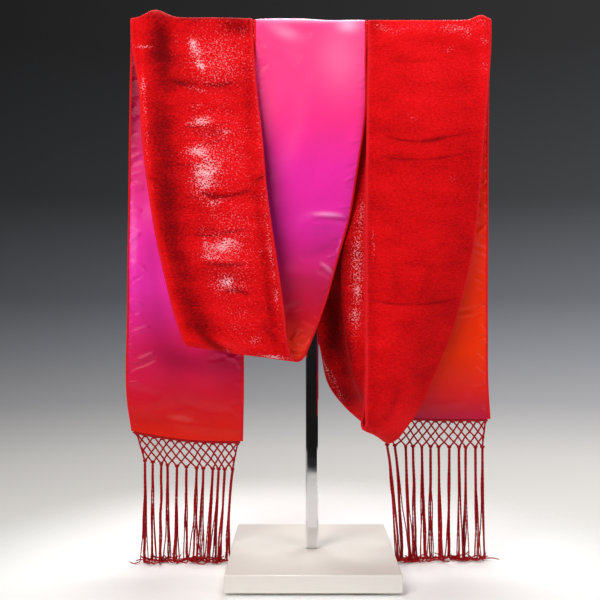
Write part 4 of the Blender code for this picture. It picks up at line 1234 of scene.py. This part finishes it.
# %% [markdown]
# ## The two layers
# Each layer is a thin sheet of points: the velvet rides on top and rolls round both seams to the satin
# side, where it shows as a narrow red edge, and the satin ends just under that roll. Both are cut into the
# six stretches of the model. The normals, which say how a surface takes the light, come from the whole
# strip, so the cuts don't show. Their relief is stronger than that of the mesh, so fine creases read.

# %% Turn the strip into sheets
HALF_GAP = SEAM_GAP / 2 / MM
VELVET_FACE = HALF_GAP + VELVET_THICKNESS / MM
SATIN_FACE = HALF_GAP + SATIN_THICKNESS / MM
LIP_FACE = SATIN_FACE + 0.12
LIP_REACH = 0.9
LIP_TUCK = 0.1
LIP_END = SATIN_FACE - 0.25
ROLL_STEPS = (60, 30, 0, -30, -60, -90)
EDGE_BULGE = 0.26
VELVET_CATCH = 1.6
SATIN_CATCH = 2.0
# The painted seam sheen: how fast it fades from the edge, in columns, and how strong it is there.
SEAM_SHEEN_COLUMNS = 0.6
SEAM_SHEEN_STRENGTH = 0.6


def rolled_edge(side):
    """Columns that roll the velvet round one seam: side 0 is edge A, side 1 is edge B."""
    column = (0, -1)[side]
    inner = (1, -2)[side]
    edge = cloth[:, column]
    aside = unit(edge - cloth[:, inner])
    up = normals[:, column]
    middle = (VELVET_FACE - LIP_FACE) / 2
    radius = (VELVET_FACE + LIP_FACE) / 2
    reach = radius + EDGE_BULGE
    columns = []
    for degrees in ROLL_STEPS:
        angle = math.radians(degrees)
        columns.append(edge + reach * math.cos(angle) * aside + (middle + radius * math.sin(angle)) * up)
    columns.append(edge - LIP_REACH * aside - LIP_FACE * up)
    columns.append(edge - (LIP_REACH + LIP_TUCK) * aside - LIP_END * up)
    return columns


normals = velvet_normals(cloth)
velvet_face = cloth + (VELVET_FACE + velvet_relief)[:, :, None] * normals
left_roll, right_roll = rolled_edge(0), rolled_edge(1)
velvet_lit = velvet_normals(cloth + (VELVET_FACE + VELVET_CATCH * velvet_relief)[:, :, None] * normals)
satin_lit = velvet_normals(cloth - (SATIN_FACE + SATIN_CATCH * satin_relief)[:, :, None] * normals)
velvet_columns = [velvet_face[:, j] for j in range(COLUMNS + 1)]
velvet_sheet = np.stack(left_roll[::-1] + velvet_columns + right_roll, axis=1)
satin_sheet = cloth - (SATIN_FACE + satin_relief)[:, :, None] * normals
over_rolls = ((0, 0), (len(left_roll), len(right_roll)))
from_edge = np.minimum(np.arange(COLUMNS + 1), np.arange(COLUMNS + 1)[::-1])
# Painted sheen along both seams, strongest at the edge.
painted_seam_sheen = np.broadcast_to(SEAM_SHEEN_STRENGTH * np.exp(-from_edge / SEAM_SHEEN_COLUMNS), across.shape)
velvet_numbers = {
    "painted_glints": np.pad(painted_glints, over_rolls, mode="edge"),
    "velvet_painted_shading": np.pad(velvet_painted_shading, over_rolls, mode="edge"),
    "crease_shade": np.pad(crease_shade, over_rolls, mode="constant"),
    "painted_seam_sheen": np.pad(painted_seam_sheen, over_rolls, mode="edge"),
}
satin_numbers = {
    "along_strip": np.broadcast_to((along / STRIP_LENGTH)[:, None], across.shape),
    "satin_painted_shading": satin_painted_shading,
}
print("velvet columns:", velvet_sheet.shape[1], "satin columns:", satin_sheet.shape[1])

# %% [markdown]
# A sheet is stored as points and four-sided faces. Its flat place on the cloth goes into a UV map in metres,
# which the weave and the pile follow however the strip turns.

# %% Make one mesh object for each stretch of each layer
def to_world(points):
    """Millimetres from the post, as the tables give them, turned into metres in the scene."""
    return points.reshape(-1, 3) * MM + np.array([POST_X, 0.0, 0.0])


def sheet_mesh(name, points, point_normals, flat, numbers, flip):
    """A one-sided sheet of four-sided faces. flip turns its faces to the satin side."""
    count_rows, count_columns = points.shape[:2]
    corner = (np.arange(count_rows - 1)[:, None] * count_columns + np.arange(count_columns - 1)).reshape(-1)
    faces = np.stack([corner, corner + count_columns, corner + count_columns + 1, corner + 1], axis=1)
    if flip:
        faces = faces[:, ::-1]
    mesh = bpy.data.meshes.new(name)
    mesh.from_pydata(to_world(points), [], faces)
    mesh.shade_smooth()
    uv = mesh.uv_layers.new(name="flat_cloth")
    uv.data.foreach_set("uv", flat.reshape(-1, 2)[faces.reshape(-1)].astype(np.float32).reshape(-1))
    for number_name, values in numbers.items():
        layer = mesh.attributes.new(number_name, "FLOAT", "POINT")
        layer.data.foreach_set("value", np.ascontiguousarray(values, dtype=np.float32).reshape(-1))
    facing = -point_normals if flip else point_normals
    mesh.normals_split_custom_set_from_vertices(facing.reshape(-1, 3))
    return mesh


def flat_places(sheet):
    """Metres across and along the flat cloth for each point of a sheet."""
    steps = np.linalg.norm(np.diff(sheet, axis=1), axis=2)
    reach = np.concatenate([np.zeros((len(sheet), 1)), np.cumsum(steps, axis=1)], axis=1)
    down = np.broadcast_to(along[:, None], reach.shape)
    return np.stack([reach, down], axis=2) * MM


LAYERS = (
    ("velvet", velvet, velvet_sheet, velvet_lit, velvet_numbers, False),
    ("satin", satin, satin_sheet, satin_lit, satin_numbers, True),
)
cloth_pieces = {}
for layer, material, sheet, lit, numbers, flip in LAYERS:
    sheet_normals = velvet_normals(sheet)
    beside = (sheet.shape[1] - lit.shape[1]) // 2
    sheet_normals[:, beside + 1 : beside + lit.shape[1] - 1] = lit[:, 1:-1]
    flat = flat_places(sheet)
    for name, (first, last) in spans.items():
        rows_here = slice(first, last + 1)
        mesh = sheet_mesh(
            f"{layer}_cloth_{name}",
            sheet[rows_here],
            sheet_normals[rows_here],
            flat[rows_here],
            {key: values[rows_here] for key, values in numbers.items()},
            flip,
        )
        piece = link_object(mesh.name, mesh, material)
        cloth_pieces[layer, name] = piece
        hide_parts(f"{layer}_{name}")
        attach(piece, "root")
print("cloth pieces:", len(cloth_pieces), "faces:", sum(len(p.data.polygons) for p in cloth_pieces.values()))

# %% [markdown]
# ## The knotted fringe
# The fringe is knotted from twisted cord. Thirteen pairs are looped through the hem, crossed over and
# under each other in a net, and gathered in twelve knots, from which the tassels hang. Each cord is a
# twisted tube: its outline has two lobes that turn as it runs, which is how a two-ply cord looks.

# %% A helper that sweeps a two-ply cord along a path
CORD_SIDES = 7
PLY_DEPTH = 0.16
PLY_PITCH = 3.4
CUT_END = 0.55


def smooth_path(points, step):
    """Points about step apart on a smooth curve through the given ones."""
    points = np.asarray(points, dtype=float)
    padded = np.vstack([2 * points[0] - points[1], points, 2 * points[-1] - points[-2]])
    made = []
    for before, start, end, after in zip(padded, padded[1:], padded[2:], padded[3:]):
        count = max(1, round(float(np.linalg.norm(end - start)) / step))
        for t in np.linspace(0, 1, count + 1)[:-1]:
            bend = (2 * start) + (end - before) * t + (2 * before - 5 * start + 4 * end - after) * t**2
            made.append(0.5 * (bend + (3 * start - before - 3 * end + after) * t**3))
    made.append(points[-1])
    return np.array(made)


def cord_tube(path, radius, closed=False):
    """Points and faces of a two-ply cord along a path, in millimetres."""
    count = len(path)
    ahead = np.roll(path, -1, axis=0) - np.roll(path, 1, axis=0) if closed else np.gradient(path, axis=0)
    tangent = unit(ahead)
    side = np.zeros_like(path)
    guess = np.array([0.0, 1.0, 0.0]) if abs(tangent[0][1]) < 0.8 else np.array([1.0, 0.0, 0.0])
    for i in range(count):
        guess = unit(guess - tangent[i] * (guess @ tangent[i]))
        side[i] = guess
    other = np.cross(tangent, side)
    run = np.concatenate([[0.0], np.cumsum(np.linalg.norm(np.diff(path, axis=0), axis=1))])[:, None]
    angle = (np.arange(CORD_SIDES) * math.tau / CORD_SIDES)[None, :]
    reach = radius * (1 + PLY_DEPTH * np.cos(2 * (angle - math.tau * run / PLY_PITCH)))
    if not closed:
        reach[[0, -1]] *= CUT_END
    ring = side[:, None, :] * np.cos(angle)[:, :, None] + other[:, None, :] * np.sin(angle)[:, :, None]
    points = (path[:, None, :] + reach[:, :, None] * ring).reshape(-1, 3)
    faces = []
    for i in range(count if closed else count - 1):
        for j in range(CORD_SIDES):
            a, b = i * CORD_SIDES + j, i * CORD_SIDES + (j + 1) % CORD_SIDES
            below = ((i + 1) % count - i) * CORD_SIDES
            faces.append((a, b, b + below, a + below))
    if not closed:
        faces.append(tuple(range(CORD_SIDES - 1, -1, -1)))
        faces.append(tuple(range((count - 1) * CORD_SIDES, count * CORD_SIDES)))
    return points, faces


def joined_mesh(name, parts):
    """One mesh from many sets of points and faces."""
    points, faces, start = [], [], 0
    for part_points, part_faces in parts:
        points.append(part_points)
        faces += [tuple(index + start for index in face) for face in part_faces]
        start += len(part_points)
    mesh = bpy.data.meshes.new(name)
    mesh.from_pydata(to_world(np.concatenate(points)), [], faces)
    mesh.shade_smooth()
    return mesh


print("cord helper ready")

# %% [markdown]
# Where the tassels hang was read off the photograph: the place of each gathering knot, and where its tassel
# meets the table. The net's crossings follow from these and from the hem.

# %% Write down the tassels
Tassel = namedtuple("Tassel", "knot_x foot_x foot_y")
LEFT_TASSELS = (
    Tassel(-169.4, -168.0, 8.0),
    Tassel(-161.5, -161.5, 13.0),
    Tassel(-152.9, -153.0, 7.0),
    Tassel(-146.6, -145.5, 14.0),
    Tassel(-137.0, -137.5, 8.0),
    Tassel(-127.4, -128.5, 13.0),
    Tassel(-117.0, -119.0, 6.0),
    Tassel(-110.2, -112.5, 14.0),
    Tassel(-100.6, -105.0, 8.0),
    Tassel(-94.6, -99.0, 15.0),
    Tassel(-88.4, -92.8, 5.0),
    Tassel(-80.5, -86.6, 12.0),
)
RIGHT_TASSELS = (
    Tassel(76.6, 86.8, 12.0),
    Tassel(84.4, 92.6, 17.0),
    Tassel(95.4, 98.4, 11.0),
    Tassel(102.8, 105.2, 18.0),
    Tassel(111.9, 113.4, 12.0),
    Tassel(120.8, 121.6, 18.0),
    Tassel(129.1, 129.9, 12.0),
    Tassel(139.9, 139.7, 18.0),
    Tassel(149.7, 149.4, 13.0),
    Tassel(156.5, 157.0, 19.0),
    Tassel(166.4, 166.6, 13.0),
    Tassel(173.4, 174.4, 19.0),
)

HEM_KNOTS = 13
FIRST_HEM_KNOT = 0.035
HEM_CORD_DROP = 1.3
NET_DROP = 27.5
CROSSING_SHARES = (0.21, 0.41, 0.61, 0.81)
CROSSING_LIFT = 0.7


def net_rows(hem, down, tassels):
    """Rows of points: the loops in the hem, the rows of crossings below them, and the tassel knots."""
    places = np.linspace(FIRST_HEM_KNOT, 1 - FIRST_HEM_KNOT, HEM_KNOTS) * (len(hem) - 1)
    columns = np.arange(len(hem))
    looped = [np.array([np.interp(at, columns, hem[:, k]) for k in range(3)]) for at in places]
    top = [point + down * HEM_CORD_DROP for point in looped]
    between = [(left + right) / 2 for left, right in zip(top, top[1:])]
    knots = [np.array([tassel.knot_x, high[1], high[2] - NET_DROP]) for tassel, high in zip(tassels, between)]
    made = [top]
    for number, share in enumerate(CROSSING_SHARES):
        gaps = [high + (low - high) * share for high, low in zip(between, knots)]
        if number % 2 == 0:
            made.append(gaps)
            continue
        ends = [top[end] + (knots[end] - top[end]) * share for end in (0, -1)]
        made.append([ends[0]] + [(left + right) / 2 for left, right in zip(gaps, gaps[1:])] + [ends[1]])
    return made + [knots]


def net_paths(net):
    """The cords of the net, which pass over their neighbours at one crossing and under at the next."""
    last = 2 * (len(net[0]) - 1)
    paths = [[row[end] for row in net[::2]] + [net[-1][end]] for end in (0, -1)]
    for start in range(0, last + 1, 2):
        for first_step in (1, -1):
            if not 0 <= start + first_step <= last:
                continue
            place, step = start, first_step
            path = [net[0][start // 2]]
            for number, row in enumerate(net[1:], 1):
                place += step
                if place in (0, last):
                    step = -step
                lift = 0.0 if row is net[-1] else first_step * (-1) ** number * CROSSING_LIFT
                path.append(row[place // 2] + np.array([0.0, lift, 0.0]))
            paths.append(path)
    return paths


print("net helper ready")

# %% [markdown]
# Every knot is a real one: a cord that follows a trefoil, the shape of a pulled-tight overhand knot. A
# tassel is six strands that hang close together, part on their way down and end in a small tangle on the
# table, as a fringe does that is a little too long for its stand.

# %% Helpers for one knot and one strand
STRAND_RADIUS = 0.60
STRANDS_PER_TASSEL = 6
CORD_STEP = 1.2
KNOT_STEPS = 30
KNOT_DEPTH = 1.5
BEND_SHARES = (0.0, 0.14, 0.32, 0.52, 0.72, 0.88, 0.965)
SWINGS_BEYOND = 5
TANGLE_REACH = (7, 15)
TANGLE_HEIGHT = 5.0
TURN_AT_TABLE = 1.2


def knot_path(place, size, turn):
    """A trefoil that stands upright at a place, turned a little about the upright axis."""
    t = np.linspace(0, math.tau, KNOT_STEPS + 1)[:-1]
    trefoil = [np.sin(t) + 2 * np.sin(2 * t), np.sin(3 * t), np.cos(t) - 2 * np.cos(2 * t)]
    flat = np.stack(trefoil, axis=1) * size
    x = flat[:, 0] * math.cos(turn) - flat[:, 1] * math.sin(turn)
    y = flat[:, 0] * math.sin(turn) + flat[:, 1] * math.cos(turn)
    return place + np.stack([x, y, flat[:, 2]], axis=1)


def strand_path(knot, tassel, number, dice):
    """One strand, from its knot down to the table, where it bends over and lies along it."""
    swings = abs(tassel.foot_x - tassel.knot_x) > SWINGS_BEYOND
    bundle = number * math.tau / STRANDS_PER_TASSEL + dice.uniform(-0.4, 0.4)
    drift = dice.normal(0.0, 3.2) if dice.random() < 0.6 else dice.normal(0.0, 0.8)
    depth = dice.normal(0.0, 1.6)
    length = knot[2] - KNOT_DEPTH
    path = []
    for share in BEND_SHARES:
        swing = share**0.7 if swings else share
        spread = 0.75 + 0.5 * share
        x = knot[0] + (tassel.foot_x - knot[0]) * swing + math.cos(bundle) * spread + drift * share**2.2
        y = knot[1] + (tassel.foot_y - knot[1]) * share + math.sin(bundle) * spread + depth * share**2
        wave = dice.normal(0.0, 0.35) * (share > 0.2)
        path.append([x + wave, y, knot[2] - KNOT_DEPTH - length * share])
    heading = dice.choice([0.0, math.pi]) + dice.normal(0.0, 0.6)
    reach = dice.uniform(*TANGLE_REACH)
    along_table = np.array([math.cos(heading), math.sin(heading) * 1.1, 0.0])
    last = np.array(path[-1])
    floor_height = STRAND_RADIUS * 1.4 + abs(dice.normal(0.0, 0.7))
    last = last + along_table * TURN_AT_TABLE
    path.append([last[0], last[1], floor_height + 0.6])
    for share in (0.5, 1.0):
        point = last + along_table * reach * share + dice.normal(0.0, 0.8, 3) * [1, 1, 0]
        path.append([point[0], point[1], floor_height + dice.uniform(0, TANGLE_HEIGHT) * share])
    return smooth_path(path, CORD_STEP)


print("strands per tassel:", STRANDS_PER_TASSEL)

# %% [markdown]
# The cord is glossy dyed thread, a darker red than the cloth. Its gloss comes from the plies of the mesh;
# the shared threads group adds the single yarns, and uneven dye its small changes of colour.

# %% Make the cord finish
CORD_DARK = linear("6C0007")
CORD_LIGHT = linear("C20A18")
YARN_HEIGHT = 0.00008

cord, tree, shader = new_material("twisted_cord")
place = tree.nodes.new("ShaderNodeTexCoord").outputs["Object"]
dye = place_group(tree, uneven_dye, place, Patches_per_Metre=420.0, Amount=0.9)
dye = add_math(tree, "MULTIPLY", dye, 0.5, clamp=True)
shade = mix_colours(tree, dye, CORD_DARK, CORD_LIGHT)
tree.links.new(shade, shader.inputs["Base Color"])
shader.inputs["Roughness"].default_value = 0.52
shader.inputs["Specular IOR Level"].default_value = 0.16
yarn = place_group(tree, threads, place, Threads_per_Metre=2200.0, Unevenness=0.8)
add_bump(tree, shader, yarn, YARN_HEIGHT, 0.6)
print("material:", cord.name)

# %% [markdown]
# Now each fringe is put together as one mesh: a heading cord along the hem, the net's cords, a knot at each
# loop, and the tassels with their knots. It follows the hem of the strip, so it hangs at the same slant.

# %% Knot both fringes
NET_CORD_RADIUS = 0.85
HEADING_CORD_RADIUS = 1.35
HEM_KNOT_SIZE = 0.50
HEM_KNOT_CORD_RADIUS = 0.66
HEM_KNOT_DROP = 1.0
TASSEL_KNOT_SIZE = 0.60
TASSEL_KNOT_CORD_RADIUS = 0.78
SEEDS = {"left": 21, "right": 22}


def fringe_parts(hem, down, tassels, dice):
    """Every cord of one fringe, as points and faces."""
    net = net_rows(hem, down, tassels)
    heading = smooth_path(hem[::3] + down * HEM_CORD_DROP, CORD_STEP)
    parts = [cord_tube(heading, HEADING_CORD_RADIUS)]
    parts += [cord_tube(smooth_path(path, CORD_STEP), NET_CORD_RADIUS) for path in net_paths(net)]
    for loop in net[0]:
        path = knot_path(loop + down * HEM_KNOT_DROP, HEM_KNOT_SIZE, dice.uniform(-0.7, 0.7))
        parts.append(cord_tube(path, HEM_KNOT_CORD_RADIUS, closed=True))
    for knot, tassel in zip(net[-1], tassels):
        path = knot_path(knot, TASSEL_KNOT_SIZE, dice.uniform(-0.9, 0.9))
        parts.append(cord_tube(path, TASSEL_KNOT_CORD_RADIUS, closed=True))
        for number in range(STRANDS_PER_TASSEL):
            parts.append(cord_tube(strand_path(knot, tassel, number, dice), STRAND_RADIUS))
    return parts


for side, hem, next_row, tassels in (
    ("left", cloth[0], cloth[1], LEFT_TASSELS),
    ("right", cloth[-1], cloth[-2], RIGHT_TASSELS),
):
    if hem[0][0] > hem[-1][0]:
        hem, next_row = hem[::-1], next_row[::-1]
    down = unit((hem - next_row).mean(axis=0))
    parts = fringe_parts(hem, down, tassels, np.random.default_rng(SEEDS[side]))
    mesh = joined_mesh(f"knotted_fringe_{side}", parts)
    piece = link_object(mesh.name, mesh, cord)
    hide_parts(f"fringe_{side}")
    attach(piece, "root")
    print(mesh.name, "faces:", len(mesh.polygons))

# %% [markdown]
# ## The stand
# The slab is lacquered white, the post and the cross-bar are polished chrome tube, and the low feet are
# matt cream. Their solids already have the right rounded edges, so they only get finishes. The handling group
# makes chrome and lacquer a little duller in soft smears, which keeps them from looking like plain plastic.

# %% Mix the stand's finishes
lacquer, tree, shader = new_material("white_lacquer")
place = tree.nodes.new("ShaderNodeTexCoord").outputs["Object"]
dye = place_group(tree, uneven_dye, place, Patches_per_Metre=12.0, Amount=0.05)
white = mix_colours(tree, add_math(tree, "MULTIPLY", dye, 0.5), linear("DED9D2"), linear("F4F0EA"))
tree.links.new(white, shader.inputs["Base Color"])
dull = place_group(tree, handling, place, Smears_per_Metre=14.0, Clean=0.28, Worn=0.42)
tree.links.new(dull, shader.inputs["Roughness"])
orange_peel = add_noise(tree, place, 350.0, 2.0)
add_bump(tree, shader, orange_peel, 0.00003, 0.5)

chrome, tree, shader = new_material("polished_chrome")
shader.inputs["Base Color"].default_value = (0.78, 0.78, 0.79, 1.0)
shader.inputs["Metallic"].default_value = 1.0
place = tree.nodes.new("ShaderNodeTexCoord").outputs["Object"]
dull = place_group(tree, handling, place, Smears_per_Metre=55.0, Clean=0.035, Worn=0.12)
tree.links.new(dull, shader.inputs["Roughness"])

cream, tree, shader = new_material("cream_foot")
place = tree.nodes.new("ShaderNodeTexCoord").outputs["Object"]
dye = place_group(tree, uneven_dye, place, Patches_per_Metre=300.0, Amount=0.2)
foot_colour = mix_colours(tree, add_math(tree, "MULTIPLY", dye, 0.5), linear("D8C08C"), linear("F2E2BC"))
tree.links.new(foot_colour, shader.inputs["Base Color"])
shader.inputs["Roughness"].default_value = 0.6

print("finishes:", lacquer.name, chrome.name, cream.name)

# %% [markdown]
# The model's own solids stay in the scene for the stand. Each has one material slot, which gets the finish
# that its name asks for.

# %% Put the finishes on the stand
finished = []
for name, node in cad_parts.items():
    if not name.startswith("stand_"):
        continue
    finish = lacquer if name == "stand_base" else cream if "foot" in name else chrome
    for material_slot in node.material_slots:
        material_slot.material = finish
    finished.append(name)
print("finished:", ", ".join(finished))

# %% [markdown]
# ## Look up the cloth pieces
# A stretch is a part of one long strip, 12 cm wide, so its flat length is the distance that it covers. The
# loop below only looks up each stretch's rows and prints the number of sheets.

for (layer, name), piece in cloth_pieces.items():
    first, last = spans[name]
print("sheets:", len(cloth_pieces))

# %% [markdown]
# ## The end
# The dressed model has to stay in the box of the solid one, but for the little that fabric may stand proud.

print("scene built")
